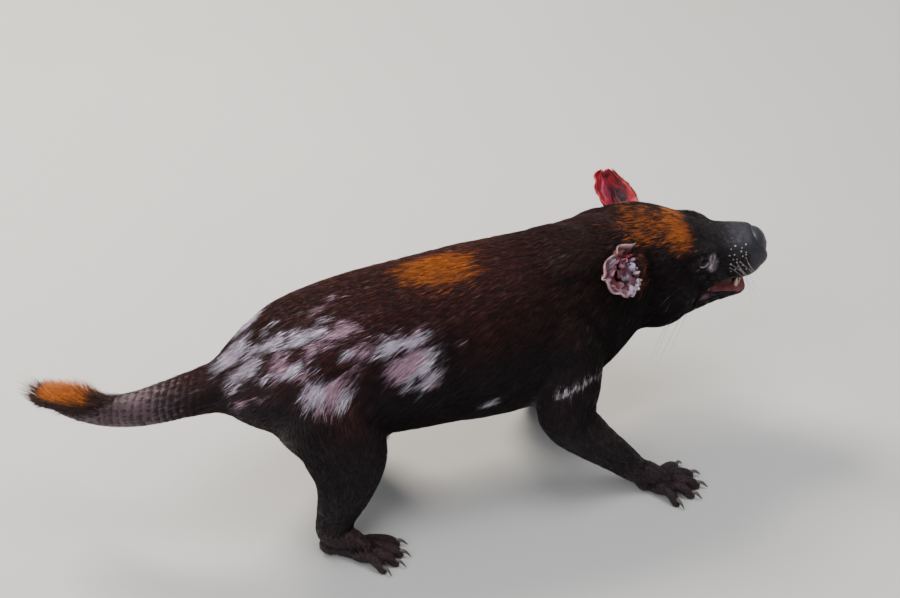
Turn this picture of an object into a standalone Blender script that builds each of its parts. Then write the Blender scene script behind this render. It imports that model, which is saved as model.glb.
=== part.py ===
"""A Tasmanian devil as a still, life-size museum model, braced on its feet with its head twisted.

The animal is modelled whole from soft forms (lofts and ellipsoids fused together) and is then parted
by thin cuts into the pieces that a person would name. Units are metres, +Z is up, +X points from the
rump to the nose and +Y to the animal's left. The origin is on the floor, under the middle of its box.
Tables are in millimetres, and mm() turns them into metres.
"""

import math
import random
from typing import NamedTuple

import bmesh
import bpy
import numpy as np
from mathutils import Matrix, Vector

# --- Driving dimensions, in millimetres -------------------------------------------------------------
TRUNK_AXIS_HEIGHT = 180.0  # floor to the trunk's axis at mid-body
TRUNK_HALF_WIDTH = 86.0
TRUNK_HALF_HEIGHT = 94.0
HEAD_LENGTH = 190.0  # nose to the back of the skull
HEAD_HALF_WIDTH = 71.0  # at the cheeks
TAIL_BASE_RADIUS = 23.0
EYE_RADIUS = 8.0
GAPE = 27.0  # opening between the lips at the front of the mouth
EAR_LENGTH = 54.0
EAR_WIDTH = 54.0
EAR_THICKNESS = 2.6
CLAW_LENGTH = 12.0
CLAW_RADIUS = 2.0
GAP = 0.3  # left between neighbouring nodes

# --- Pose -------------------------------------------------------------------------------------------
BOX_CENTRE = (-56.0, -10.0)  # middle of the animal's box before it is moved over the origin
NOSE_TIP = (335.6, -1.0, 217.0)
HEAD_TURN, HEAD_DIP, HEAD_ROLL = -15.0, -5.0, 7.0  # degrees: yaw, nose down, left side up

# --- Mesh budgets, in triangles ---------------------------------------------------------------------
BODY_BUDGET = 3600
HEAD_BUDGET = 2500
FOOT_BUDGET = 430
TONGUE_BUDGET = 120
VOXEL, SMOOTHING = 2.0, 8  # grid of the fused skin in millimetres, and its rounds of smoothing
FOOT_VOXEL, FOOT_SMOOTHING = 1.5, 4

UP = Vector((0.0, 0.0, 1.0))


def mm(*values):
    """Millimetres to metres: a number for one value, else a Vector."""
    scaled = [0.001 * value for value in values]
    return scaled[0] if len(scaled) == 1 else Vector(scaled)


class Ring(NamedTuple):
    """A cross-section: centre, half-width, reach above and below the centre, roll and squareness."""

    centre: tuple
    wide: float
    up: float
    down: float
    roll: float = 0.0
    square: float = 2.0


# ----------------------------------------------------------------------------------------------------
# Tables of the forms, in millimetres
# ----------------------------------------------------------------------------------------------------
W, H, Z = TRUNK_HALF_WIDTH, TRUNK_HALF_HEIGHT, TRUNK_AXIS_HEIGHT

TRUNK = (
    Ring((-274, 0, Z + 2), 0.20 * W, 0.16 * H, 0.18 * H),
    Ring((-258, 0, Z), 0.46 * W, 0.34 * H, 0.31 * H),
    Ring((-232, 0, Z - 3), 0.74 * W, 0.54 * H, 0.45 * H),
    Ring((-190, 0, Z - 4), 0.94 * W, 0.80 * H, 0.74 * H),
    Ring((-125, 0, Z - 2), 0.98 * W, 0.95 * H, 0.86 * H),
    Ring((-40, 0, Z), 0.99 * W, H, 0.97 * H),
    Ring((40, 0, Z + 3), W, 0.99 * H, 1.06 * H),
    Ring((100, 6, Z + 8), 0.92 * W, 0.92 * H, 1.02 * H),
    Ring((148, 22, Z + 14), 0.82 * W, 0.80 * H, 0.86 * H, 2),
    Ring((188, 38, Z + 15), 0.75 * W, 0.65 * H, 0.70 * H, 5),
    Ring((220, 35, Z + 18), 0.72 * W, 0.58 * H, 0.70 * H, 7),
)

# Head rings stand across the head's own axis: (forward of the nose tip, left, up).
HW, HL = HEAD_HALF_WIDTH, HEAD_LENGTH
UPPER_LIP = -25.0  # height of the upper lip at the front, from the nose tip
LOWER_LIP = UPPER_LIP - GAPE
HEAD = (
    Ring((-1.06 * HL, -20, -6), 0.84 * HW, 50, 58),
    Ring((-0.91 * HL, -3, -9), 0.98 * HW, 61, 68),
    Ring((-0.75 * HL, 0, -9), HW, 61, 66, 0, 2.1),
    Ring((-0.60 * HL, 0, -9), 0.90 * HW, 55, 59, 0, 2.2),
    Ring((-0.48 * HL, 0, -9), 0.74 * HW, 48, 51, 0, 2.2),
    Ring((-0.37 * HL, 0, -9), 0.57 * HW, 39, 41, 0, 2.3),
    Ring((-0.27 * HL, 0, -9), 0.46 * HW, 32, 31, 0, 2.5),
    Ring((-0.16 * HL, 0, -8), 0.41 * HW, 28, 26, 0, 2.6),
    Ring((-0.06 * HL, 0, -6), 0.34 * HW, 24, 21, 0, 2.5),
    Ring((-0.01 * HL, 0, -3), 0.22 * HW, 16, 15, 0, 2.2),
)
# The lower jaw hangs open: its lip line drops from the mouth's corner to the chin.
JAW = (
    Ring((-0.66 * HL, 0, -44), 0.78 * HW, 22, 31),
    Ring((-0.54 * HL, 0, -47), 0.70 * HW, 18, 27),
    Ring((-0.42 * HL, 0, -51), 0.54 * HW, 14, 19, 0, 2.2),
    Ring((-0.31 * HL, 0, -54), 0.39 * HW, 10, 13, 0, 2.3),
    Ring((-0.22 * HL, 0, -56), 0.31 * HW, 8, 10, 0, 2.4),
    Ring((-0.15 * HL, 0, LOWER_LIP - 6), 0.25 * HW, 6, 8, 0, 2.3),
    Ring((-0.11 * HL, 0, LOWER_LIP - 6), 0.15 * HW, 4, 5),
)


class Limb(NamedTuple):
    """A leg: its rings from the shoulder or hip down, and its foot's place and heading."""

    name: str
    side: int  # -1 on the right, 1 on the left
    rings: tuple
    ankle: tuple  # where the foot begins
    foot: tuple  # floor point under the middle of the toes' roots
    heading: float  # degrees, 0 along +X
    cut_x: tuple  # the stretch of the body that holds the leg


FORELEG_RIGHT = Limb(
    "right",
    -1,
    (
        Ring((88, -46, 182), 40, 42, 44),
        Ring((82, -66, 140), 35, 38, 36),
        Ring((76, -80, 108), 29, 33, 30),
        Ring((104, -86, 74), 23, 24, 24),
        Ring((132, -90, 46), 18, 19, 19),
        Ring((154, -94, 24), 16, 14, 15),
    ),
    (146, -92, 31),
    (184, -108, 0),
    -24,
    (22, 260),
)
FORELEG_LEFT = Limb(
    "left",
    1,
    (
        Ring((90, 46, 182), 40, 42, 44),
        Ring((76, 66, 142), 35, 37, 36),
        Ring((58, 74, 108), 28, 30, 30),
        Ring((72, 74, 72), 22, 23, 23),
        Ring((86, 72, 44), 18, 18, 18),
        Ring((98, 72, 24), 16, 14, 15),
    ),
    (93, 72, 31),
    (130, 76, 0),
    12,
    (10, 200),
)
HINDLEG_RIGHT = Limb(
    "right",
    -1,
    (
        Ring((-172, -42, 170), 42, 60, 52),
        Ring((-164, -62, 138), 38, 53, 44),
        Ring((-158, -72, 108), 32, 44, 42),
        Ring((-162, -76, 76), 26, 31, 31),
        Ring((-172, -76, 46), 20, 22, 22),
        Ring((-178, -78, 26), 17, 17, 16),
    ),
    (-174, -77, 38),
    (-146, -98, 0),
    -36,
    (-262, -70),
)
HINDLEG_LEFT = Limb(
    "left",
    1,
    (
        Ring((-168, 42, 170), 42, 60, 52),
        Ring((-152, 62, 138), 38, 52, 44),
        Ring((-136, 70, 108), 32, 42, 40),
        Ring((-134, 72, 76), 26, 30, 30),
        Ring((-140, 72, 46), 20, 21, 21),
        Ring((-145, 73, 26), 17, 17, 16),
    ),
    (-142, 73, 38),
    (-107, 87, 0),
    22,
    (-255, -60),
)
LEG_PRISM_INNER, LEG_PRISM_OUTER = (34.0, 80.0), (132.0, 164.0)  # (out from the midline, up)
BELOW_FLOOR = 60.0  # how far the leg cutters reach below the soles

TAIL = (
    Ring((-236, 2, Z), 36, 36, 36),
    Ring((-268, 4, Z - 3), 28, 26, 28),
    Ring((-300, 8, 171), TAIL_BASE_RADIUS, TAIL_BASE_RADIUS, TAIL_BASE_RADIUS),
    Ring((-338, 18, 160), 20, 19, 19.5),
    Ring((-370, 33, 152), 16.5, 16.5, 16.5),
    Ring((-396, 51, 147), 12.5, 12, 12.5),
    Ring((-414, 66, 145), 8.0, 7.5, 8.0),
    Ring((-424, 76, 144), 4, 4, 4),
)


class Tier(NamedTuple):
    """A row of locks on the tail, with lengths in millimetres and angles in degrees."""

    count: int
    first: float  # where the row starts and ends, as shares of the tail's length
    last: float
    near: float  # the locks' turn about the tail from its top, from near to far on either side
    far: float
    lean: float  # from square to the tail over towards its tip
    length: float
    width: float


BRUSH_RISE = Tier(4, 0.53, 0.61, 0, 30, 58, 15.0, 8.0)
CREST = Tier(15, 0.62, 0.95, 2, 32, 40, 25.0, 9.0)
FLANKS = Tier(7, 0.62, 0.92, 60, 115, 74, 18.0, 7.5)
PLUME = Tier(7, 0.965, 0.985, 0, 180, 76, 30.0, 6.5)
LOCK_THICK = 1.4
LOCK_SUNK = 4.0  # how deep a lock's root lies under the skin, at most half way to the tail's axis
LOCK_BEND = 0.24  # how far a lock's tip bends towards the tail's tip, as a share of its length
LOCK_TAPER = ((0.0, 0.8), (0.45, 1.0), (0.8, 0.6), (1.0, 0.1))  # (share of the length, of the width)
LOCK_SEED = 13
TAIL_ROOT_CUT = ((-276, 5, 176), (-1.0, 0.12, -0.22))
TAIL_MIDDLE_CUT = ((-352, 24, 157), (-0.88, 0.42, -0.24))
NECK_CUT = ((130, 12, 190), (0.94, 0.30, 0.18))
HEAD_CUT_BEHIND_NOSE = 0.88 * HL

# ----------------------------------------------------------------------------------------------------
# Blender helpers
# ----------------------------------------------------------------------------------------------------


def clear_scene():
    """Empties the scene, so that a run starts the same each time."""
    for obj in list(bpy.data.objects):
        bpy.data.objects.remove(obj, do_unlink=True)


def material(name, colour, roughness):
    """A plain Principled BSDF material."""
    made = bpy.data.materials.new(name)
    made.use_nodes = True
    shader = made.node_tree.nodes["Principled BSDF"]
    shader.inputs["Base Color"].default_value = (*colour, 1.0)
    shader.inputs["Roughness"].default_value = roughness
    shader.inputs["Metallic"].default_value = 0.0
    return made


def object_from(name, mesh_or_bmesh):
    """A new linked object holding a mesh, or a bmesh that is then freed."""
    mesh = mesh_or_bmesh
    if isinstance(mesh, bmesh.types.BMesh):
        mesh = bpy.data.meshes.new(name)
        bmesh.ops.recalc_face_normals(mesh_or_bmesh, faces=mesh_or_bmesh.faces)
        if mesh_or_bmesh.calc_volume(signed=True) < 0:
            bmesh.ops.reverse_faces(mesh_or_bmesh, faces=mesh_or_bmesh.faces)
        mesh_or_bmesh.to_mesh(mesh)
        mesh_or_bmesh.free()
    obj = bpy.data.objects.new(name, mesh)
    bpy.context.scene.collection.objects.link(obj)
    return obj


def remove(*objects):
    """Deletes objects that were only steps on the way."""
    for obj in objects:
        bpy.data.objects.remove(obj, do_unlink=True)


def copy_of(obj):
    """A separate copy of an object and its mesh."""
    made = obj.copy()
    made.data = obj.data.copy()
    bpy.context.scene.collection.objects.link(made)
    return made


def bake_modifiers(obj):
    """Replaces an object's mesh by the one that its modifiers make."""
    graph = bpy.context.evaluated_depsgraph_get()
    mesh = bpy.data.meshes.new_from_object(obj.evaluated_get(graph))
    obj.modifiers.clear()
    obj.data = mesh
    return obj


def joined(name, objects):
    """One object holding the meshes of several, still as separate shells."""
    bm = bmesh.new()
    for obj in objects:
        bm.from_mesh(obj.data)
    remove(*objects)
    mesh = bpy.data.meshes.new(name)
    bm.to_mesh(mesh)
    bm.free()
    return object_from(name, mesh)


def fused(name, forms, voxel, smoothing):
    """Melts overlapping closed forms into one soft skin."""
    obj = joined(name, forms)
    remesh = obj.modifiers.new("melt", "REMESH")
    remesh.mode = "VOXEL"
    remesh.voxel_size = mm(voxel)
    smooth = obj.modifiers.new("soften", "SMOOTH")
    smooth.factor = 0.5
    smooth.iterations = smoothing
    return bake_modifiers(obj)


def thinned(obj, budget):
    """Collapses a dense mesh to about that many triangles."""
    triangles = sum(len(polygon.vertices) - 2 for polygon in obj.data.polygons)
    if triangles > budget:
        collapse = obj.modifiers.new("thin", "DECIMATE")
        collapse.ratio = budget / triangles
        collapse.use_collapse_triangulate = True
        bake_modifiers(obj)
    return obj


def boolean(obj, others, operation):
    """Joins obj with the other closed meshes, cuts them out of it, or keeps what they share with it."""
    tools = bpy.data.collections.new("tools")
    bpy.context.scene.collection.children.link(tools)
    for other in others:
        tools.objects.link(other)
    modifier = obj.modifiers.new(operation.lower(), "BOOLEAN")
    modifier.operation = operation
    modifier.operand_type = "COLLECTION"
    modifier.collection = tools
    modifier.solver = "EXACT"
    modifier.use_self = len(others) > 1
    bake_modifiers(obj)
    remove(*others)
    bpy.data.collections.remove(tools)
    return keep_largest(obj)


def keep_largest(obj):
    """Keeps the closed surface with the most volume, and drops loose scraps."""
    bm = bmesh.new()
    bm.from_mesh(obj.data)
    bmesh.ops.triangulate(bm, faces=bm.faces)
    shells, seen = [], set()
    for start in bm.faces:
        if start in seen:
            continue
        shell, edge_of_shell = [], [start]
        seen.add(start)
        while edge_of_shell:
            face = edge_of_shell.pop()
            shell.append(face)
            for edge in face.edges:
                for near in edge.link_faces:
                    if near not in seen:
                        seen.add(near)
                        edge_of_shell.append(near)
        shells.append(shell)
    if len(shells) > 1:
        volumes = [abs(sum(signed_volume(face) for face in shell)) for shell in shells]
        best = volumes.index(max(volumes))
        dropped = [face for i, shell in enumerate(shells) if i != best for face in shell]
        bmesh.ops.delete(bm, geom=dropped, context="FACES")
        loose = [vertex for vertex in bm.verts if not vertex.link_faces]
        bmesh.ops.delete(bm, geom=loose, context="VERTS")
    bm.to_mesh(obj.data)
    bm.free()
    return obj


def signed_volume(face):
    """Volume of the tetrahedron between a triangle and the origin."""
    a, b, c = (vertex.co for vertex in face.verts)
    return a.dot(b.cross(c)) / 6


def grown(obj, distance):
    """A copy of a closed mesh swollen along its normals."""
    copy = copy_of(obj)
    swell = copy.modifiers.new("swell", "DISPLACE")
    swell.strength = mm(distance)
    swell.mid_level = 0.0
    return bake_modifiers(copy)


def split(obj, name, cutter, wider_cutter):
    """Parts obj with a thin cut: returns the piece inside the cutter, and leaves obj outside."""
    inside = copy_of(obj)
    inside.name = name
    boolean(inside, [cutter], "INTERSECT")
    boolean(obj, [wider_cutter], "DIFFERENCE")
    return inside


# ----------------------------------------------------------------------------------------------------
# Shapes
# ----------------------------------------------------------------------------------------------------


def smooth_row(values, steps):
    """Catmull-Rom values through the given rows, with `steps` spans between neighbours."""
    rows = np.asarray(values, float)
    padded = np.vstack([2 * rows[0] - rows[1], rows, 2 * rows[-1] - rows[-2]])
    out = []
    for i in range(1, len(rows)):
        a, b, c, d = padded[i - 1 : i + 3]
        for t in np.arange(steps) / steps:
            out.append(
                0.5
                * (2 * b + (c - a) * t + (2 * a - 5 * b + 4 * c - d) * t**2 + (3 * b - a - 3 * c + d) * t**3)
            )
    out.append(rows[-1])
    return np.array(out)


def loft(name, rings, sides=20, steps=3, place=None, crown=UP):
    """A closed body swept through the rings, whose ends are flat caps."""
    table = [(*r.centre, r.wide, r.up, r.down, r.roll, r.square) for r in rings]
    rows = smooth_row(table, steps)
    centres = [mm(*row[:3]) for row in rows]
    bm = bmesh.new()
    loops = []
    for i, row in enumerate(rows):
        ahead = centres[min(i + 1, len(rows) - 1)]
        behind = centres[max(i - 1, 0)]
        along = (ahead - behind).normalized()
        across = crown.cross(along).normalized()
        over = along.cross(across)
        turn = Matrix.Rotation(math.radians(row[6]), 3, along)
        across, over = turn @ across, turn @ over
        wide, up, down, power = mm(row[3]), mm(row[4]), mm(row[5]), 2 / row[7]
        loop = []
        for k in range(sides):
            angle = 2 * math.pi * k / sides
            c, s = math.cos(angle), math.sin(angle)
            reach_across = math.copysign(abs(c) ** power, c) * wide
            reach_over = math.copysign(abs(s) ** power, s) * (up if s > 0 else down)
            loop.append(bm.verts.new(centres[i] + across * reach_across + over * reach_over))
        loops.append(loop)
    for one, two in zip(loops, loops[1:]):
        for k in range(sides):
            bm.faces.new((one[k - 1], one[k], two[k], two[k - 1]))
    bm.faces.new(loops[0])
    bm.faces.new(loops[-1])
    if place is not None:
        bm.transform(place)
    return object_from(name, bm)


def tube(name, points, radii, sides=12, steps=3, place=None, crown=UP):
    """A round loft through points, with a radius at each."""
    rings = [Ring(tuple(p), r, r, r) for p, r in zip(points, radii)]
    return loft(name, rings, sides, steps, place, crown)


def ball(name, centre, radii, place=None, turn=(0, 0, 0), fineness=16):
    """An ellipsoid: millimetre centre and radii, and a turn in degrees about X, Y and Z."""
    bm = bmesh.new()
    bmesh.ops.create_uvsphere(bm, u_segments=fineness, v_segments=fineness // 2, radius=1.0)
    spin = Matrix.Identity(4)
    for degrees, axis in zip(turn, "XYZ"):
        spin = Matrix.Rotation(math.radians(degrees), 4, axis) @ spin
    shape = Matrix.Translation(mm(*centre)) @ spin @ Matrix.Diagonal((*mm(*radii), 1.0))
    bm.transform((place or Matrix.Identity(4)) @ shape)
    return object_from(name, bm)


def prism(name, outline, low, high, place=None, along="Y"):
    """An upright millimetre outline, given as (level, height) pairs, drawn out from low to high."""
    bm = bmesh.new()
    corner = {"Y": lambda a, z, reach: mm(a, reach, z), "X": lambda a, z, reach: mm(reach, a, z)}[along]
    near = [bm.verts.new(corner(a, z, low)) for a, z in outline]
    far = [bm.verts.new(corner(a, z, high)) for a, z in outline]
    bm.faces.new(near)
    bm.faces.new(reversed(far))
    for k in range(len(outline)):
        bm.faces.new((near[k], near[k - 1], far[k - 1], far[k]))
    if place is not None:
        bm.transform(place)
    return object_from(name, bm)


def half_space(name, point, normal, shift=0.0, size=400.0):
    """A big block on the side of a plane that the normal points to, moved along it by shift."""
    bm = bmesh.new()
    bmesh.ops.create_cube(bm, size=mm(2 * size))
    toward = Vector(normal).normalized()
    turn = UP.rotation_difference(toward).to_matrix().to_4x4()
    middle = mm(*point) + toward * mm(size + shift)
    bm.transform(Matrix.Translation(middle) @ turn)
    return object_from(name, bm)


def head_place():
    """The head's own frame: +X forward from the nose tip, +Y left, +Z over the head."""
    turn = (
        Matrix.Rotation(math.radians(HEAD_TURN), 4, "Z")
        @ Matrix.Rotation(math.radians(HEAD_DIP), 4, "Y")
        @ Matrix.Rotation(math.radians(HEAD_ROLL), 4, "X")
    )
    return Matrix.Translation(mm(*NOSE_TIP)) @ turn


# ----------------------------------------------------------------------------------------------------
# Trunk, neck, legs and tail
# ----------------------------------------------------------------------------------------------------


def leg_form(limb):
    """A leg's loft: half-width runs across the body, and up and down run along it."""
    return loft(f"leg_{limb.name}", limb.rings, sides=20, crown=Vector((1, 0, 0)))


def body_forms():
    """Every soft form of the trunk, the neck, the upper legs and the tail."""
    forms = [
        loft("trunk", TRUNK, sides=28, steps=4),
        loft("tail", TAIL, sides=18, steps=4),
        ball("withers", (92, 0, 246), (62, 52, 34)),
        ball("chest", (116, 8, 150), (44, 48, 46)),
        ball("belly", (6, 0, 140), (104, 62, 58)),
    ]
    for limb in (FORELEG_RIGHT, FORELEG_LEFT):
        forms.append(leg_form(limb))
        forms.append(ball("shoulder", (78, 46 * limb.side, 184), (48, 42, 56)))
    for limb in (HINDLEG_RIGHT, HINDLEG_LEFT):
        forms.append(leg_form(limb))
        forms.append(ball("haunch", (-168, 44 * limb.side, 164), (60, 46, 66)))
    return forms


def leg_cutter(limb, wider=0.0):
    """The prism that holds a leg below its slanting cut, drawn out along the body."""
    inner_y, inner_z = LEG_PRISM_INNER
    outer_y, outer_z = LEG_PRISM_OUTER
    low, high = limb.cut_x
    side = limb.side
    outline = (
        ((inner_y - wider) * side, inner_z + wider),
        (outer_y * side, outer_z + 1.3 * wider),
        (2 * outer_y * side, outer_z),
        (2 * outer_y * side, -BELOW_FLOOR),
        ((inner_y - 24) * side, -BELOW_FLOOR),
    )
    return prism("leg_cutter", outline, low - wider, high + wider, along="X")


def part_body(body):
    """Cuts the fused body into the trunk, the neck, two lengths of tail and four legs."""
    pieces = {}
    legs = (
        ("foreleg", FORELEG_RIGHT),
        ("foreleg", FORELEG_LEFT),
        ("hindleg", HINDLEG_RIGHT),
        ("hindleg", HINDLEG_LEFT),
    )
    for kind, limb in legs:
        name = f"{kind}_{limb.name}"
        leg = split(body, name, leg_cutter(limb), leg_cutter(limb, GAP))
        point, down = limb.ankle, ankle_direction(limb)
        boolean(leg, [half_space("ankle", point, down, -GAP / 2)], "DIFFERENCE")
        pieces[name] = leg
    skull = head_cut()
    boolean(body, [half_space("skull", *skull, -GAP / 2)], "DIFFERENCE")
    pieces["neck"] = split(
        body, "neck", half_space("cut", *NECK_CUT, GAP / 2), half_space("cut", *NECK_CUT, -GAP / 2)
    )
    tail = split(
        body,
        "tail_root",
        half_space("cut", *TAIL_ROOT_CUT, GAP / 2, 180),
        half_space("cut", *TAIL_ROOT_CUT, -GAP / 2, 180),
    )
    pieces["tail_tip"] = split(
        tail,
        "tail_tip",
        half_space("cut", *TAIL_MIDDLE_CUT, GAP / 2, 180),
        half_space("cut", *TAIL_MIDDLE_CUT, -GAP / 2, 180),
    )
    pieces["tail_root"] = tail
    body.name = "torso"
    pieces["torso"] = body
    return pieces


def roughly(whole, name, keep_head, budget):
    """One side of the skull's plane with a little to spare, thinned before its exact cuts."""
    point, forward = head_cut()
    side = forward if keep_head else -forward
    piece = copy_of(whole)
    piece.name = name
    boolean(piece, [half_space("rough_cut", point, side, -8.0)], "INTERSECT")
    return thinned(piece, budget)


def head_cut():
    """The plane at the back of the skull, as a millimetre point and the head's forward direction."""
    place = head_place()
    point = place @ mm(-HEAD_CUT_BEHIND_NOSE, 0, -8)
    return tuple(point * 1000), place.to_3x3() @ Vector((1, 0, 0))


# ----------------------------------------------------------------------------------------------------
# The tail's brush
# ----------------------------------------------------------------------------------------------------


def tail_frame(share):
    """The tail at a share of its length: its centre, the way it runs, its upper side and its radius."""
    rows = smooth_row([(*ring.centre, ring.wide) for ring in TAIL], 8)
    place = share * (len(rows) - 1)
    i = min(int(place), len(rows) - 2)
    row = rows[i] + (rows[i + 1] - rows[i]) * (place - i)
    along = Vector(rows[i + 1][:3] - rows[i][:3]).normalized()
    over = (UP - along * UP.dot(along)).normalized()
    return Vector(row[:3]), along, over, row[3]


def lock(root, heading, curl, length, width):
    """A flat lock that tapers to its tip and bends towards curl."""
    rings = []
    for t, share in LOCK_TAPER:
        centre = root + heading * (length * t) + curl * (LOCK_BEND * length * t * t)
        half_thick = 0.5 * LOCK_THICK * share
        rings.append(Ring(tuple(centre), 0.5 * width * share, half_thick, half_thick))
    return loft("lock", rings, sides=4, steps=1, crown=curl)


def tier_of_locks(tier, draw):
    """A row of overlapping locks, on alternate sides of the tail's top."""
    locks = []
    for k in range(tier.count):
        share = tier.first + (tier.last - tier.first) * (k + draw.uniform(0.2, 0.8)) / tier.count
        centre, along, over, radius = tail_frame(share)
        side = 1 if k % 2 else -1
        turn = side * (tier.near + (tier.far - tier.near) * draw.random())
        outward = Matrix.Rotation(math.radians(turn), 3, along) @ over
        lean = math.radians(tier.lean + draw.uniform(-9, 9))
        heading = outward * math.cos(lean) + along * math.sin(lean)
        curl = along * math.cos(lean) - outward * math.sin(lean)
        root = centre + outward * max(radius - LOCK_SUNK, 0.5 * radius)
        length = tier.length * draw.uniform(0.82, 1.12) + LOCK_SUNK
        locks.append(lock(root, heading, curl, length, tier.width * draw.uniform(0.85, 1.15)))
    return locks


def grow_brush(tail_tip):
    """Fuses the crest, the flanks' locks and the plume beyond the tip into the end of the tail."""
    draw = random.Random(LOCK_SEED)
    locks = []
    for tier in (BRUSH_RISE, CREST, FLANKS, PLUME):
        locks += tier_of_locks(tier, draw)
    boolean(tail_tip, locks, "UNION")


# ----------------------------------------------------------------------------------------------------
# Head
# ----------------------------------------------------------------------------------------------------
MOUTH_CORNER = (-0.355 * HL, -41.0)  # (forward, up) in the head's frame
JAW_HINGE_BEHIND = 48.0  # from the mouth's corner back to the lower end of the jaw's rear edge
EYE_PLACE = (-0.405 * HL, 33.4, 12.0)  # (forward, out, up)
EYE_FINENESS = 12
LID_HALF_LONG, LID_HALF_TALL = 8.4, 5.6  # the almond that the lids' ring follows
LID_THICK, LID_DEEP, LID_OUT = 2.5, 3.2, 3.2  # half-sizes of the ring, and its place out of the eye
NOSTRIL_PLACE = (-1.5, 6.2, -1.5)
NOSTRIL_RADII = (6.5, 2.2, 2.7)
PALATE = ((-66, 0, -37), (-50, 0, -35), (-30, 0, -30), (-17, 0, -25))
MOUTH_FLOOR = ((-70, 0, -46), (-56, 0, -49), (-42, 0, -52), (-31, 0, LOWER_LIP))
TONGUE = (
    Ring((-66, 0, -49), 8, 3, 9),
    Ring((-54, 0, -51), 12, 4, 10),
    Ring((-42, 0, -54), 9, 4, 9),
    Ring((-35, 0, -55), 5, 2.5, 6),
)
TOOTH_SUNK = 2.5
HEAD_REACH = 110.0  # further than the head's half-width, for cutters that pass right through it


def head_forms():
    """Every soft form of the head, in its own frame."""
    place = head_place()
    forms = [loft("skull", HEAD, 28, 4, place), loft("mandible", JAW, 24, 4, place)]
    forms.append(ball("nose_pad", (-8, 0, 1), (10, 14.5, 12), place))
    for side in (-1, 1):
        forms.append(ball("whisker_pad", (-31, 17 * side, -14), (24, 15, 18), place))
        forms.append(ball("brow", (-76, 27 * side, 19), (22, 12, 9), place, (0, 10, -14 * side)))
        forms.append(ball("cheek", (-122, 44 * side, -20), (44, 28, 42), place, (0, 0, -12 * side)))
        forms.append(ball("cheek_bone", (-92, 38 * side, -8), (34, 15, 15), place, (0, 0, -28 * side)))
    for ear in (EAR_RIGHT, EAR_LEFT):
        forms.append(ball("ear_root", ear_base(ear), EAR_BASE_RADII, place))
    return forms


def almond_ring(name, along, around):
    """A closed ring that follows an almond in its XZ plane."""
    bm = bmesh.new()
    grid = []
    for i in range(along):
        t = 2 * math.pi * i / along
        outward = Vector((math.cos(t), 0, math.sin(t)))
        middle = Vector((LID_HALF_LONG * outward.x, 0, LID_HALF_TALL * outward.z))
        loop = []
        for k in range(around):
            a = 2 * math.pi * k / around
            point = middle + outward * LID_THICK * math.cos(a) + Vector((0, LID_DEEP * math.sin(a), 0))
            loop.append(bm.verts.new(mm(*point)))
        grid.append(loop)
    for i in range(along):
        for k in range(around):
            bm.faces.new((grid[i - 1][k - 1], grid[i - 1][k], grid[i][k], grid[i][k - 1]))
    return object_from(name, bm)


def lids(place):
    """A soft almond ring round each eye, to be joined to the head."""
    forward, out, up = EYE_PLACE
    made = []
    for side in (-1, 1):
        lean = (
            Matrix.Rotation(math.radians(-28 * side), 4, "Z")
            @ Matrix.Rotation(math.radians(14 * side), 4, "X")
        )
        ring = almond_ring("lid", 14, 7)
        ring.data.transform(place @ Matrix.Translation(mm(forward, (out + LID_OUT) * side, up)) @ lean)
        made.append(ring)
    return made


def jaw_outline(grow):
    """The region of the lower jaw in side view, grown by that much over its top and back."""
    corner_x, corner_z = MOUTH_CORNER
    ahead = 20.0
    return (
        (ahead, 0.5 * (UPPER_LIP + LOWER_LIP) + grow),
        (corner_x - grow, corner_z + grow),
        (corner_x - JAW_HINGE_BEHIND - 1.2 * grow, -HEAD_REACH),
        (ahead, -HEAD_REACH),
    )


def carve_sockets(head, place):
    """Cuts the eye sockets and returns the two eyes that sit in them."""
    sockets, eyes = [], {}
    forward, out, up = EYE_PLACE
    for name, side in (("eye_right", -1), ("eye_left", 1)):
        centre = (forward, out * side, up)
        sockets.append(ball("socket", centre, (EYE_RADIUS + GAP,) * 3, place, fineness=EYE_FINENESS))
        eyes[name] = ball(name, centre, (EYE_RADIUS,) * 3, place, fineness=EYE_FINENESS)
    boolean(head, sockets, "DIFFERENCE")
    return eyes


def carve_nostrils(head, place):
    """Cuts the two slanting, comma-like nostrils into the nose pad."""
    forward, out, up = NOSTRIL_PLACE
    holes = []
    for side in (-1, 1):
        turn = (18 * side, 0, -38 * side)
        holes.append(ball("nostril", (forward, out * side, up), NOSTRIL_RADII, place, turn, 10))
    boolean(head, holes, "DIFFERENCE")


def part_jaw(head, place):
    """Parts the lower jaw from the skull, and hollows the palate and the mouth's floor."""
    jaw = split(
        head,
        "jaw",
        prism("jaw_cut", jaw_outline(0), -HEAD_REACH, HEAD_REACH, place),
        prism("jaw_cut", jaw_outline(GAP), -HEAD_REACH, HEAD_REACH, place),
    )
    boolean(head, [tube("palate", PALATE, (14, 17, 15, 8), 12, 2, place)], "DIFFERENCE")
    boolean(jaw, [tube("mouth_floor", MOUTH_FLOOR, (9, 14, 11, 6), 12, 2, place)], "DIFFERENCE")
    return jaw


def fang(name, root, length, radius, lean, place):
    """A tooth: a tapered, slightly curved cone whose root is sunk in the gum."""
    x, y, z = root
    sunk = math.copysign(TOOTH_SUNK, length)
    points = [(x, y, z - sunk), (x, y, z), (x + 0.4 * lean, y, z + 0.5 * length), (x + lean, y, z + length)]
    radii = (radius, radius, 0.72 * radius, 0.12 * radius)
    return tube(name, points, radii, 6, 1, place, Vector((1, 0, 0)))


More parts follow.
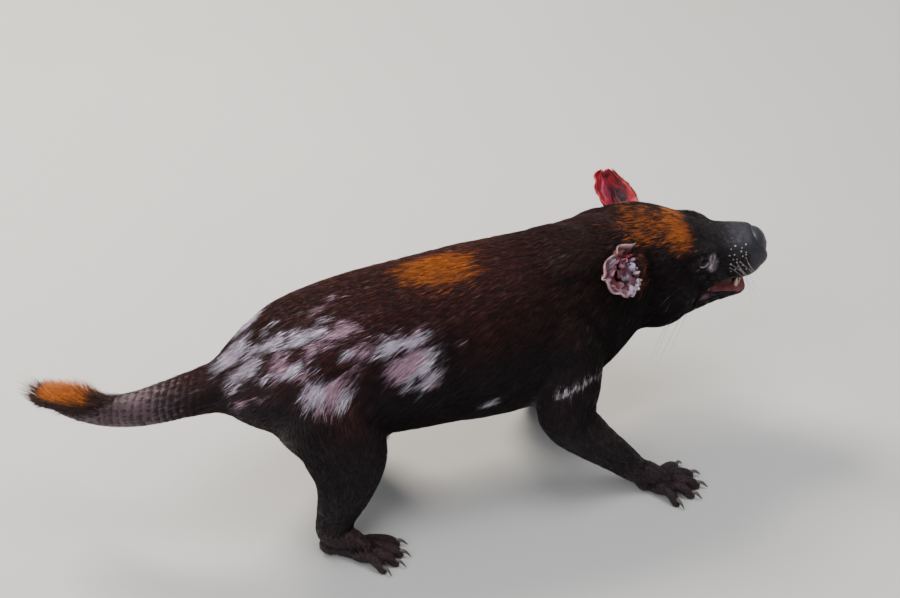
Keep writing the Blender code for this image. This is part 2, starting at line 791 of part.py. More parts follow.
def upper_teeth(place):
    """Incisors, canines and cheek teeth of the upper jaw."""
    teeth = []
    for side in (-1, 1):
        teeth.append(fang("canine", (-20, 14.0 * side, -24), -14.0, 2.8, 2, place))
        for k in range(3):
            root = (-9.5 - 1.6 * k, (2.0 + 3.5 * k) * side, -20)
            teeth.append(fang("incisor", root, -5.5, 1.5, 0.8, place))
        for k in range(3):
            root = (-32 - 9 * k, (19.0 + 1.6 * k) * side, -28 - 2 * k)
            teeth.append(fang("cheek_tooth", root, -7.0, 3.0, 0, place))
    return teeth


def lower_teeth(place):
    """Incisors, canines and cheek teeth of the lower jaw."""
    teeth = []
    for side in (-1, 1):
        teeth.append(fang("canine", (-33, 10.5 * side, LOWER_LIP), 12.0, 2.6, 2, place))
        for k in range(2):
            root = (-28.0 - 1.2 * k, (2.0 + 3.4 * k) * side, LOWER_LIP)
            teeth.append(fang("incisor", root, 4.5, 1.4, 0.8, place))
        for k in range(3):
            root = (-42 - 8 * k, (15.5 + 2.6 * k) * side, -51 + 2.2 * k)
            teeth.append(fang("cheek_tooth", root, 6.0, 2.6, 0, place))
    return teeth


def tongue_node(head, jaw, place):
    """The tongue on the mouth's floor, a thin gap clear of both jaws."""
    tongue = thinned(loft("tongue", TONGUE, 12, 2, place), TONGUE_BUDGET)
    for neighbour in (jaw, head):
        boolean(tongue, [grown(neighbour, GAP)], "DIFFERENCE")
    return tongue


def head_nodes(head):
    """Carves the fused head and parts it into skull, jaw, tongue and eyes."""
    place = head_place()
    boolean(head, lids(place), "UNION")
    eyes = carve_sockets(head, place)
    carve_nostrils(head, place)
    skull_point, skull_normal = head_cut()
    boolean(head, [half_space("cut", skull_point, -skull_normal, -GAP / 2)], "DIFFERENCE")
    jaw = part_jaw(head, place)
    boolean(head, upper_teeth(place), "UNION")
    boolean(jaw, lower_teeth(place), "UNION")
    tongue = tongue_node(head, jaw, place)
    return {"head": head, "jaw": jaw, "tongue": tongue, **eyes}


# ----------------------------------------------------------------------------------------------------
# Ears
# ----------------------------------------------------------------------------------------------------
class Ear(NamedTuple):
    """An ear: which side, its root in the head's frame, and how it lies back and opens."""

    name: str
    side: int
    root: tuple  # (forward, out, up)
    toward: tuple  # from root to tip: (forward, out, up)
    opening: tuple  # the way its cup faces: (forward, out, up)


EAR_NOTCHES = ((0.42, 4.0), (-0.38, 3.0))  # (place across the rim, depth)
EAR_BASE_RADII = (18, 14, 14)
EAR_BASE_SUNK = 14.0  # how far the middle of the flesh under an ear lies below its root
EAR_RIGHT = Ear("ear_right", -1, (-162, 70, 46), (-0.50, 0.70, 0.50), (0.62, 0.42, 0.55))
EAR_LEFT = Ear("ear_left", 1, (-149, 48.3, 16.5), (-0.16, 0.78, 0.42), (0.50, -0.30, 0.80))


def ear_base(ear):
    """The middle of the flesh under an ear, in the head's frame."""
    middle = Vector(ear.root) - EAR_BASE_SUNK * Vector(ear.toward).normalized()
    return (middle.x, middle.y * ear.side, middle.z)


def ear_point(u, v):
    """A point of the cup for u from -1 to 1 across it and v from 0 to 1 up it, in millimetres.

    X runs across, Y from root to tip and Z out of the cup's mouth.
    """
    length, half = EAR_LENGTH, EAR_WIDTH / 2
    tip_round = math.sqrt(max(0.0, 1 - (max(v - 0.5, 0.0) / 0.5) ** 2.2))
    spread = (0.56 + 0.44 * math.sin(0.5 * math.pi * min(1.0, v / 0.45))) * max(tip_round, 0.16)
    across = u * half * spread
    curl = (4.0 + 7.0 * (1 - v) ** 1.3) * abs(u) ** 2.4
    hollow = -5.0 * (1 - u * u) * math.sin(math.pi * min(1.0, 0.18 + 0.82 * v)) ** 0.8
    crumple = 1.4 * math.sin(8.0 * u + 5.0 * v) * v * v + 0.9 * math.sin(13.0 * v - 6.0 * u) * abs(u) * v
    notch = sum(depth * math.exp(-(((u - at) / 0.12) ** 2)) for at, depth in EAR_NOTCHES) * v**8
    return Vector((across, length * v - notch, hollow + curl + crumple))


def ear_shell(ear, place):
    """The ear as a thin cup, with its root reaching into the head."""
    across, upward = 10, 8
    bm = bmesh.new()
    grid = []
    for j in range(upward + 1):
        v = -0.16 + 1.16 * j / upward
        row = []
        for i in range(across + 1):
            u = -1 + 2 * i / across
            point = ear_point(u, max(v, 0.0))
            point.y += EAR_LENGTH * min(v, 0.0)
            row.append(bm.verts.new(mm(*point)))
        grid.append(row)
    for j in range(upward):
        for i in range(across):
            bm.faces.new((grid[j][i], grid[j][i + 1], grid[j + 1][i + 1], grid[j + 1][i]))
    tip = Vector((ear.toward[0], ear.toward[1] * ear.side, ear.toward[2])).normalized()
    mouth = Vector((ear.opening[0], ear.opening[1] * ear.side, ear.opening[2]))
    mouth = (mouth - tip * mouth.dot(tip)).normalized()
    side = tip.cross(mouth)
    axes = Matrix((side, tip, mouth)).transposed().to_4x4()
    root = mm(ear.root[0], ear.root[1] * ear.side, ear.root[2])
    bm.transform(place @ Matrix.Translation(root) @ axes)
    shell = object_from(ear.name, bm)
    thick = shell.modifiers.new("thickness", "SOLIDIFY")
    thick.thickness = mm(EAR_THICKNESS)
    thick.offset = 0.0
    return bake_modifiers(shell)


def ear_node(ear, neighbours):
    """An ear whose root meets the head face to face, clear of the neck and the trunk."""
    shell = ear_shell(ear, head_place())
    for neighbour in neighbours:
        boolean(shell, [grown(neighbour, GAP)], "DIFFERENCE")
    return shell


# ----------------------------------------------------------------------------------------------------
# Feet
# ----------------------------------------------------------------------------------------------------
class Toe(NamedTuple):
    """A toe: where it leaves the foot, its heading in degrees, length and radius, in millimetres."""

    root: tuple  # (forward, left)
    heading: float
    length: float
    radius: float


FORE_TOES = (
    Toe((-2, 17), 46, 20, 5.4),
    Toe((5, 10), 20, 25, 5.8),
    Toe((8, 1), 1, 27, 6.0),
    Toe((5, -8), -17, 25, 5.8),
    Toe((-3, -16), -42, 20, 5.4),
)
HIND_TOES = (
    Toe((4, 13), 20, 23, 5.8),
    Toe((8, 4.5), 5, 26, 6.2),
    Toe((8, -4.5), -7, 26, 6.2),
    Toe((3, -13), -22, 23, 5.8),
)


def foot_place(limb):
    """The foot's own frame: on the floor, +X the way it points."""
    spin = Matrix.Rotation(math.radians(limb.heading), 4, "Z")
    return Matrix.Translation(mm(*limb.foot)) @ spin


def ankle_direction(limb):
    """The way the limb runs as it enters the foot."""
    a, b = Vector(limb.rings[-2].centre), Vector(limb.rings[-1].centre)
    return (b - a).normalized()


def toe_place(toe, place):
    """A toe's own frame: at its root on the floor, +X along it."""
    turn = Matrix.Rotation(math.radians(toe.heading), 4, "Z")
    return place @ Matrix.Translation(mm(*toe.root, 0)) @ turn


def toe_forms(toe, place):
    """One toe: a knuckled digit and the pad under its end."""
    own = toe_place(toe, place)
    reach, r = toe.length, toe.radius
    points = [(-10, 0, 13), (0, 0, 12), (0.40 * reach, 0, 11.5), (0.72 * reach, 0, 7.5), (reach, 0, 5.0)]
    digit = tube("digit", points, (r, 1.05 * r, r, 0.95 * r, 0.62 * r), 10, 2, own)
    pad = ball("toe_pad", (0.84 * reach, 0, 3.2), (6.2, 4.8, 4.6), own, fineness=12)
    return [digit, pad]


def claw(toe, place):
    """A curved claw growing from the end of a toe, clear of the floor."""
    own = toe_place(toe, place)
    r, tip = CLAW_RADIUS, toe.length + CLAW_LENGTH - 2
    base = toe.length - 4
    points = [(base, 0, 6.6), (base + 4.5, 0, 7.4), (base + 9, 0, 5.8), (tip, 0, 2.2)]
    return tube("claw", points, (r, r, 0.8 * r, 0.15 * r), 6, 2, own)


def foot_node(name, limb, toes, is_hind):
    """A whole foot: its stem from the leg, sole, toes and claws, flat where it meets the floor."""
    place = foot_place(limb)
    ankle = limb.rings[-1]
    foot = Vector(limb.foot)
    stem_rings = (
        limb.rings[-2],
        ankle,
        Ring(tuple(0.45 * Vector(ankle.centre) + 0.55 * Vector((foot.x, foot.y, 12))), 17, 12, 13),
        Ring((foot.x, foot.y, 10), 15, 7, 9),
    )
    forms = [loft("stem", stem_rings, 16, 3, crown=Vector((1, 0, 0)))]
    forms.append(ball("palm", (-4, 0, 8), (20, 19, 9.5), place))
    if is_hind:
        heel = Vector((ankle.centre[0], ankle.centre[1], 9))
        forms.append(ball("heel", tuple(heel), (15, 14, 10)))
        middle = tuple(0.5 * (heel + Vector((foot.x, foot.y, 9))))
        forms.append(ball("arch", middle, (26, 15, 9.5), turn=(0, 0, limb.heading)))
    else:
        forms.append(ball("wrist_pad", (-22, 0, 8), (12, 13, 9), place))
    for toe in toes:
        forms += toe_forms(toe, place)
    node = thinned(fused(name, forms, FOOT_VOXEL, FOOT_SMOOTHING), FOOT_BUDGET)
    boolean(node, [claw(toe, place) for toe in toes], "UNION")
    boolean(node, [half_space("floor", (0, 0, 0), (0, 0, -1))], "DIFFERENCE")
    down = ankle_direction(limb)
    boolean(node, [half_space("ankle", limb.ankle, -down, -GAP / 2)], "DIFFERENCE")
    return node


# ----------------------------------------------------------------------------------------------------
# Assembly
# ----------------------------------------------------------------------------------------------------


def dress(nodes):
    """Gives each node its own material and smooth shading."""
    coat, skin = (0.022, 0.013, 0.011), (0.055, 0.030, 0.030)
    finishes = {
        "ear": ((0.42, 0.14, 0.15), 0.55),
        "eye": ((0.010, 0.007, 0.006), 0.12),
        "tongue": ((0.55, 0.16, 0.16), 0.40),
        "forefoot": (skin, 0.70),
        "hindfoot": (skin, 0.70),
        "tail_tip": ((0.100, 0.035, 0.012), 0.75),
    }
    for name, node in nodes.items():
        node.name = name
        node.data.name = name
        key = next((k for k in finishes if name.startswith(k)), None)
        colour, roughness = finishes.get(key, (coat, 0.75))
        node.data.materials.clear()
        node.data.materials.append(material(name, colour, roughness))
        node.data.shade_smooth()
        node.data.set_sharp_from_angle(angle=math.radians(40))


def gather(nodes):
    """Puts the nodes in one collection and moves the animal over the origin."""
    group = bpy.data.collections.new("tasmanian_devil")
    bpy.context.scene.collection.children.link(group)
    shift = Matrix.Translation(mm(-BOX_CENTRE[0], -BOX_CENTRE[1], 0))
    for node in nodes.values():
        node.data.transform(shift)
        for old in list(node.users_collection):
            old.objects.unlink(node)
        group.objects.link(node)


def main():
    """Builds the whole animal."""
    clear_scene()
    whole = fused("whole", body_forms() + head_forms(), VOXEL, SMOOTHING)
    body = roughly(whole, "body", False, BODY_BUDGET)
    head = roughly(whole, "head", True, HEAD_BUDGET)
    remove(whole)
    nodes = part_body(body)
    grow_brush(nodes["tail_tip"])
    nodes.update(head_nodes(head))
    for ear in (EAR_RIGHT, EAR_LEFT):
        nodes[ear.name] = ear_node(ear, (nodes["head"], nodes["neck"], nodes["torso"]))
    for limb in (FORELEG_RIGHT, FORELEG_LEFT):
        name = f"forefoot_{limb.name}"
        nodes[name] = foot_node(name, limb, FORE_TOES, False)
    for limb in (HINDLEG_RIGHT, HINDLEG_LEFT):
        name = f"hindfoot_{limb.name}"
        nodes[name] = foot_node(name, limb, HIND_TOES, True)
    dress(nodes)
    gather(nodes)


main()
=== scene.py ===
"""Looks of a Tasmanian devil, built as a still, life-size museum model.

One skin replaces the solids of flesh and lies inside them by the depth of the coat. Over it grow
solid tufts that follow the lie of the hair, and the eyes, nose pad, ears, teeth, claws, whiskers and
the tail's brush are pieces of their own. Lengths are in millimetres, in the animal's own frame (+X to
the nose, +Y to its left, +Z up), and each finished piece is moved into the frame in metres.
"""

import logging
import math
from dataclasses import dataclass, field
from enum import Enum

import bpy
import numpy as np
from mathutils import Matrix, Vector
from mathutils.kdtree import KDTree


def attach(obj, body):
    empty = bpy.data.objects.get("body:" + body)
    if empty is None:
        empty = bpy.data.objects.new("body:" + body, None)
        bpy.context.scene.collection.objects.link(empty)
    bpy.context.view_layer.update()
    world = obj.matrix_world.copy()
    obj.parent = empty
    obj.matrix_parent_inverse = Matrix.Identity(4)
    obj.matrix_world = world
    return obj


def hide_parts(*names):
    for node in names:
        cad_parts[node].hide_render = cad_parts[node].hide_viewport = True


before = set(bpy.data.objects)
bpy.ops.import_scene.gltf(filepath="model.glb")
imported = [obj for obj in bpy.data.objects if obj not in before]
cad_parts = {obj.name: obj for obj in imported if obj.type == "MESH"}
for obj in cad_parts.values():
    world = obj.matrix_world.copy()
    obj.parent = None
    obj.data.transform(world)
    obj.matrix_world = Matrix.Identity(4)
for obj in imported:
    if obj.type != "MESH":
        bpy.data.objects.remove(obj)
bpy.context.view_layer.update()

Array = np.ndarray
Triple = tuple[float, float, float]
LOG = logging.getLogger("tasmanian_devil")

MM = 0.001
OWN_TO_FRAME = np.array((56.0, 10.0, 0.0))  # from the animal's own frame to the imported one
COAT_LAYER = "Coat"  # the meshes' colours: red, green, blue, and the depth of the skin's wrinkles
CHART_LAYER = "OFBake"  # the unwrap of the tufts

# --- Driving dimensions ---
TRUNK_AXIS_HEIGHT = 180.0
TRUNK_HALF_WIDTH = 86.0
TRUNK_HALF_HEIGHT = 94.0
HEAD_LENGTH = 190.0
HEAD_HALF_WIDTH = 71.0
TAIL_BASE_RADIUS = 23.0
EYE_RADIUS = 8.0
LOWER_LIP = -52.0
EAR_LENGTH = 54.0
EAR_WIDTH = 54.0
CLAW_LENGTH = 12.0
TAIL_RING_STEP = 8.5  # from one ring fold of the tail to the next
NOSE_TIP = (335.6, -1.0, 217.0)
HEAD_TURN, HEAD_DIP, HEAD_ROLL = -15.0, -5.0, 7.0


# --- Small tools for rows of vectors ---
def unit(rows: Array) -> Array:
    """Rows scaled to a length of one."""
    return rows / np.maximum(np.linalg.norm(rows, axis=-1, keepdims=True), 1e-9)


def dot(a: Array, b: Array) -> Array:
    """Row-wise scalar products."""
    return np.sum(a * b, axis=-1)


def smoothstep(low: float, high: float, x: Array) -> Array:
    """0 below low, 1 above high, and a soft rise between (a fall where low is above high)."""
    t = np.clip((x - low) / (high - low), 0.0, 1.0)
    return t * t * (3.0 - 2.0 * t)


def mix(a: Array, b: Array, share: Array) -> Array:
    """Rows a turned into rows b by a share for each row.

    Args:
        a: Rows, or one row for all.
        b: Rows, or one row for all.
        share: One number for each row.

    Returns:
        The mixed rows.
    """
    share = np.asarray(share)[..., None]
    return np.asarray(a) * (1.0 - share) + np.asarray(b) * share


def rotation(axis: str, degrees: float) -> Array:
    """A 3 by 3 turn about X, Y or Z."""
    return np.array(Matrix.Rotation(math.radians(degrees), 3, axis))


def round_turns(count: int) -> Array:
    """Evenly spaced angles all round a ring."""
    return 2 * math.pi * np.arange(count) / count


def ring_axes(path: Array, crown: Triple) -> tuple[Array, Array]:
    """Directions for the rings round a path.

    Args:
        path: Places along it.
        crown: The direction that the rings' upper side faces.

    Returns:
        At each place the ways across the path and over it.
    """
    along = unit(np.gradient(path, axis=0))
    across = unit(np.cross(np.broadcast_to(crown, along.shape), along))
    return across, np.cross(along, across)


def segment_distance(points: Array, start: Array, end: Array) -> tuple[Array, Array]:
    """Distance of each point from a segment, and how far along it the nearest place is.

    Args:
        points: Rows of places.
        start: The segment's start.
        end: Its end.

    Returns:
        The distances, and the nearest places as shares of the segment.
    """
    run = end - start
    t = np.clip((points - start) @ run / max(run @ run, 1e-9), 0.0, 1.0)
    return np.linalg.norm(points - start - t[:, None] * run, axis=1), t


class Grain:
    """Seeded smooth noise in space."""

    SIZE = 4096

    def __init__(self, seed: int) -> None:
        """Draws the table of values that the lattice points share."""
        self.values = np.random.default_rng(seed).uniform(-1.0, 1.0, self.SIZE)

    def _lattice(self, cell: Array) -> Array:
        """The value at each lattice point."""
        mixed = cell[:, 0] * 73856093 ^ cell[:, 1] * 19349663 ^ cell[:, 2] * 83492791
        return self.values[mixed % self.SIZE]

    def at(self, points: Array, scale: float, octaves: int = 1) -> Array:
        """Noise from about -1 to 1.

        Args:
            points: Rows of places.
            scale: Size of the largest lumps.
            octaves: How many finer layers are summed.

        Returns:
            One number for each row.
        """
        total, weight, reach = np.zeros(len(points)), 1.0, 0.0
        for octave in range(octaves):
            place = points / scale * 2.0**octave + 17.3 * octave
            cell = np.floor(place).astype(np.int64)
            t = place - cell
            t = t * t * (3.0 - 2.0 * t)
            layer = np.zeros(len(points))
            for corner in range(8):
                offset = np.array((corner & 1, corner >> 1 & 1, corner >> 2 & 1))
                share = np.prod(np.where(offset, t, 1.0 - t), axis=1)
                layer += share * self._lattice(cell + offset)
            total += weight * layer
            reach += weight
            weight *= 0.5
        return total / reach

    def over(self, u: Array, v: Array, scale: float, octaves: int) -> Array:
        """Noise over a sheet.

        Args:
            u: Places across it, in an array of any shape.
            v: Places up it, in the same shape.
            scale: Size of the largest lumps.
            octaves: How many finer layers are summed.

        Returns:
            Noise from about -1 to 1, in the same shape.
        """
        spots = np.stack([u, v, 0 * u], axis=-1).reshape(-1, 3)
        return self.at(spots, scale, octaves).reshape(u.shape)


# --- The head's own frame ---
class HeadFrame:
    """+X forward from the nose tip, +Y to the left and +Z over the head."""

    TURN = rotation("Z", HEAD_TURN) @ rotation("Y", HEAD_DIP) @ rotation("X", HEAD_ROLL)
    ORIGIN = np.array(NOSE_TIP)

    @classmethod
    def out(cls, points: Array) -> Array:
        """Head places turned into the animal's frame."""
        return np.asarray(points) @ cls.TURN.T + cls.ORIGIN

    @classmethod
    def into(cls, points: Array) -> Array:
        """Places in the animal's frame turned into the head's."""
        return (points - cls.ORIGIN) @ cls.TURN

    @classmethod
    def turn_in(cls, directions: Array) -> Array:
        """Directions turned into the head's frame."""
        return directions @ cls.TURN


# --- Soft forms that melt into one skin ---
@dataclass(frozen=True)
class Ring:
    """A cross-section of a loft."""

    centre: Triple
    wide: float  # half of its width
    up: float  # reach above the middle
    down: float  # reach below the middle
    roll: float = 0.0  # turn about the loft, in degrees
    square: float = 2.0  # 2 for an ellipse, more for a squarer section


def smooth_rows(values: list, steps: int) -> Array:
    """Catmull-Rom rows through the given rows.

    Args:
        values: Rows of numbers.
        steps: Spans between neighbours.

    Returns:
        The finer rows, ends included.
    """
    rows = np.asarray(values, float)
    padded = np.vstack([2 * rows[0] - rows[1], rows, 2 * rows[-1] - rows[-2]])
    out = []
    for i in range(1, len(rows)):
        a, b, c, d = padded[i - 1 : i + 3]
        for t in np.arange(steps) / steps:
            square, cube = t * t, t**3
            row = 2 * b + (c - a) * t + (2 * a - 5 * b + 4 * c - d) * square
            out.append(0.5 * (row + (3 * b - a - 3 * c + d) * cube))
    out.append(rows[-1])
    return np.array(out)


@dataclass
class Surface:
    """A mesh as arrays."""

    points: Array  # places of the vertices, in rows
    faces: Array  # rows of vertex numbers, all with three or all with four

    @classmethod
    def read(cls, mesh: bpy.types.Mesh) -> "Surface":
        """Reads a Blender mesh, in quads where every face is one and in triangles otherwise.

        Args:
            mesh: The mesh.

        Returns:
            Its surface.
        """
        points = np.empty(len(mesh.vertices) * 3, np.float32)
        mesh.vertices.foreach_get("co", points)
        corners = np.empty(len(mesh.loops), np.int32)
        if len(mesh.loops) == 4 * len(mesh.polygons):
            mesh.loops.foreach_get("vertex_index", corners)
            return cls(points.reshape(-1, 3).astype(float), corners.reshape(-1, 4))
        mesh.calc_loop_triangles()
        corners = np.empty(len(mesh.loop_triangles) * 3, np.int32)
        mesh.loop_triangles.foreach_get("vertices", corners)
        return cls(points.reshape(-1, 3).astype(float), corners.reshape(-1, 3))

    def normals(self) -> Array:
        """Outward directions at the vertices, weighted by the size of the faces.

        Returns:
            One unit row for each vertex.
        """
        corners = [self.points[self.faces[:, k]] for k in range(self.faces.shape[1])]
        if len(corners) == 4:
            face = np.cross(corners[2] - corners[0], corners[3] - corners[1])
        else:
            face = np.cross(corners[1] - corners[0], corners[2] - corners[0])
        count = len(self.points)
        total = np.zeros((count, 3))
        for k in range(self.faces.shape[1]):
            for axis in range(3):
                total[:, axis] += np.bincount(self.faces[:, k], face[:, axis], count)
        return unit(total)

    def to_mesh(self, name: str) -> bpy.types.Mesh:
        """A Blender mesh with the same numbers and smooth shading.

        Args:
            name: The mesh's name.

        Returns:
            The mesh.
        """
        mesh = bpy.data.meshes.new(name)
        mesh.vertices.add(len(self.points))
        mesh.vertices.foreach_set("co", self.points.astype(np.float32).ravel())
        corners = self.faces.astype(np.int32).ravel()
        mesh.loops.add(len(corners))
        mesh.loops.foreach_set("vertex_index", corners)
        mesh.polygons.add(len(self.faces))
        starts = np.arange(len(self.faces), dtype=np.int32) * self.faces.shape[1]
        mesh.polygons.foreach_set("loop_start", starts)
        mesh.update(calc_edges=True)
        mesh.validate()
        return mesh


def linked(name: str, data: bpy.types.ID) -> bpy.types.Object:
    """An object in the scene.

    Args:
        name: Its name.
        data: The mesh, light or camera that it holds.

    Returns:
        The object.
    """
    obj = bpy.data.objects.new(name, data)
    bpy.context.scene.collection.objects.link(obj)
    return obj


def drop(obj: bpy.types.Object) -> None:
    """Removes an object that was a step on the way, with its mesh.

    Args:
        obj: The object.
    """
    mesh = obj.data
    bpy.data.objects.remove(obj, do_unlink=True)
    bpy.data.meshes.remove(mesh)


def evaluated(obj: bpy.types.Object) -> Surface:
    """The surface that an object's modifiers make; the object itself is dropped.

    Args:
        obj: The object.

    Returns:
        Its final surface.
    """
    graph = bpy.context.evaluated_depsgraph_get()
    made = obj.evaluated_get(graph)
    surface = Surface.read(made.to_mesh())
    made.to_mesh_clear()
    drop(obj)
    return surface


class Clay:
    """A heap of closed forms that can be melted into one soft skin."""

    def __init__(self) -> None:
        """Starts with no form."""
        self.points: list[Array] = []
        self.faces: list[tuple[int, ...]] = []
        self.count = 0

    def add(self, points: Array, faces: list) -> None:
        """Adds one closed form, with faces that point outwards.

        Args:
            points: Its vertices.
            faces: Its faces, as rows of vertex numbers.
        """
        self.faces += [tuple(int(i) + self.count for i in face) for face in faces]
        self.points.append(points)
        self.count += len(points)

    def loft(self, rings: tuple, sides: int = 48, steps: int = 8, crown: Triple = (0, 0, 1),
             in_head: bool = False) -> None:
        """Adds a body swept through rings, with flat caps.

        Args:
            rings: The Ring sections, in order.
            sides: Points round each section.
            steps: Sections between two neighbours.
            crown: The direction that the sections' upper side faces.
            in_head: True where the rings are in the head's frame.
        """
        rows = smooth_rows([(*r.centre, r.wide, r.up, r.down, r.roll, r.square) for r in rings], steps)
        centres = rows[:, :3]
        across, over = ring_axes(centres, crown)
        roll = np.radians(rows[:, 6])[:, None]
        across, over = (across * np.cos(roll) + over * np.sin(roll),
                        over * np.cos(roll) - across * np.sin(roll))
        angle = round_turns(sides)
        c, s = np.cos(angle)[None, :], np.sin(angle)[None, :]
        power = (2.0 / rows[:, 7])[:, None]
        wide = np.sign(c) * np.abs(c) ** power * rows[:, 3:4]
        tall = np.sign(s) * np.abs(s) ** power * np.where(s > 0, rows[:, 4:5], rows[:, 5:6])
        points = (centres[:, None] + across[:, None] * wide[..., None] + over[:, None] * tall[..., None])
        points = points.reshape(-1, 3)
        faces = []
        for i in range(len(rows) - 1):
            one, two = i * sides, (i + 1) * sides
            faces += [(one + k - 1, one + k, two + k, two + k - 1) for k in range(1, sides)]
            faces.append((one + sides - 1, one, two, two + sides - 1))
        last = (len(rows) - 1) * sides
        faces.append(tuple(range(sides - 1, -1, -1)))
        faces.append(tuple(range(last, last + sides)))
        self.add(HeadFrame.out(points) if in_head else points, faces)

    def tube(self, points: tuple, radii: tuple, sides: int = 24, steps: int = 6,
             crown: Triple = (0, 0, 1), in_head: bool = False) -> None:
        """Adds a round loft through points, with a radius at each."""
        rings = tuple(Ring(tuple(p), r, r, r) for p, r in zip(points, radii))
        self.loft(rings, sides, steps, crown, in_head)

    def ball(self, centre: Triple, radii: Triple, turn: Triple = (0, 0, 0), in_head: bool = False,
             fineness: int = 32) -> None:
        """Adds an ellipsoid.

        Args:
            centre: Its middle.
            radii: Its three radii.
            turn: Degrees about X, then Y, then Z.
            in_head: True where the numbers are in the head's frame.
            fineness: Points round its equator.
        """
        rows = fineness // 2
        polar = math.pi * np.arange(1, rows) / rows
        angle = round_turns(fineness)
        belt = np.stack([np.outer(np.sin(polar), np.cos(angle)), np.outer(np.sin(polar), np.sin(angle)),
                         np.outer(np.cos(polar), np.ones(fineness))], axis=-1).reshape(-1, 3)
        sphere = np.vstack([belt, (0, 0, 1), (0, 0, -1)])
        spin = rotation("Z", turn[2]) @ rotation("Y", turn[1]) @ rotation("X", turn[0])
        points = (sphere * radii) @ spin.T + centre
        top, bottom = len(belt), len(belt) + 1
        faces = []
        for k in range(fineness):
            after = (k + 1) % fineness
            faces.append((top, k, after))
            for i in range(rows - 2):
                faces.append((i * fineness + k, (i + 1) * fineness + k, (i + 1) * fineness + after,
                              i * fineness + after))
            foot = (rows - 2) * fineness
            faces.append((foot + k, bottom, foot + after))
        self.add(HeadFrame.out(points) if in_head else points, faces)

    def include(self, surface: Surface) -> None:
        """Adds a surface that is already melted."""
        self.add(surface.points, surface.faces.tolist())

    def triangles(self) -> Array:
        """The faces cut into triangles: first halves of all, then second halves of those with four corners.

        Returns:
            Rows of three vertex numbers.
        """
        halves = [face[:3] for face in self.faces]
        halves += [(face[0], *face[2:]) for face in self.faces if len(face) == 4]
        return np.array(halves)

    def to_object(self, name: str) -> bpy.types.Object:
        """The forms as one object, still as loose shells.

        Args:
            name: The object's name.

        Returns:
            The object.
        """
        mesh = bpy.data.meshes.new(name)
        mesh.from_pydata(np.vstack(self.points).tolist(), [], self.faces, shade_flat=False)
        return linked(name, mesh)

    def melt(self, grid: float, rounds: int) -> Surface:
        """Melts the forms together.

        Args:
            grid: Size of the voxels.
            rounds: Rounds of smoothing.

        Returns:
            One soft skin.
        """
        obj = self.to_object("clay")
        remesh = obj.modifiers.new("melt", "REMESH")
        remesh.mode = "VOXEL"
        remesh.voxel_size = grid
        smooth = obj.modifiers.new("soften", "SMOOTH")
        smooth.factor = 0.5
        smooth.iterations = rounds
        return evaluated(obj)


def hollowed(surface: Surface, tools: Clay) -> Surface:
    """The surface with the tools' forms cut out of it.

    Args:
        surface: The body.
        tools: The forms to cut out.

    Returns:
        What is left of the body.
    """
    body = linked("body", surface.to_mesh("body"))
    tool = tools.to_object("tool")
    cut = body.modifiers.new("cut", "BOOLEAN")
    cut.operation = "DIFFERENCE"
    cut.object = tool
    cut.solver = "MANIFOLD"
    made = evaluated(body)
    drop(tool)
    return made


# --- Anatomy ---
W, H, Z = TRUNK_HALF_WIDTH, TRUNK_HALF_HEIGHT, TRUNK_AXIS_HEIGHT
HW, HL = HEAD_HALF_WIDTH, HEAD_LENGTH

TRUNK = (
    Ring((-274, 0, Z + 2), 0.20 * W, 0.16 * H, 0.18 * H),
    Ring((-258, 0, Z), 0.46 * W, 0.34 * H, 0.31 * H),
    Ring((-232, 0, Z - 3), 0.74 * W, 0.54 * H, 0.45 * H),
    Ring((-190, 0, Z - 4), 0.94 * W, 0.80 * H, 0.74 * H),
    Ring((-125, 0, Z - 2), 0.98 * W, 0.95 * H, 0.86 * H),
    Ring((-40, 0, Z), 0.99 * W, H, 0.97 * H),
    Ring((40, 0, Z + 3), W, 0.99 * H, 1.06 * H),
    Ring((100, 6, Z + 8), 0.92 * W, 0.92 * H, 1.02 * H),
    Ring((148, 22, Z + 14), 0.82 * W, 0.80 * H, 0.86 * H, 2),
    Ring((188, 38, Z + 15), 0.75 * W, 0.65 * H, 0.70 * H, 5),
    Ring((220, 35, Z + 18), 0.72 * W, 0.58 * H, 0.70 * H, 7),
)
HEAD = (
    Ring((-1.06 * HL, -20, -6), 0.84 * HW, 50, 58),
    Ring((-0.91 * HL, -3, -9), 0.98 * HW, 61, 68),
    Ring((-0.75 * HL, 0, -9), HW, 61, 66, 0, 2.1),
    Ring((-0.60 * HL, 0, -9), 0.90 * HW, 55, 59, 0, 2.2),
    Ring((-0.48 * HL, 0, -9), 0.74 * HW, 48, 51, 0, 2.2),
    Ring((-0.37 * HL, 0, -9), 0.57 * HW, 39, 41, 0, 2.3),
    Ring((-0.27 * HL, 0, -9), 0.46 * HW, 32, 31, 0, 2.5),
    Ring((-0.16 * HL, 0, -8), 0.41 * HW, 28, 26, 0, 2.6),
    Ring((-0.06 * HL, 0, -6), 0.34 * HW, 24, 21, 0, 2.5),
    Ring((-0.01 * HL, 0, -3), 0.22 * HW, 16, 15, 0, 2.2),
)
JAW = (
    Ring((-0.66 * HL, 0, -44), 0.78 * HW, 22, 31),
    Ring((-0.54 * HL, 0, -47), 0.70 * HW, 18, 27),
    Ring((-0.42 * HL, 0, -51), 0.54 * HW, 14, 19, 0, 2.2),
    Ring((-0.31 * HL, 0, -54), 0.39 * HW, 10, 13, 0, 2.3),
    Ring((-0.22 * HL, 0, -56), 0.31 * HW, 8, 10, 0, 2.4),
    Ring((-0.15 * HL, 0, LOWER_LIP - 6), 0.25 * HW, 6, 8, 0, 2.3),
    Ring((-0.11 * HL, 0, LOWER_LIP - 6), 0.15 * HW, 4, 5),
)
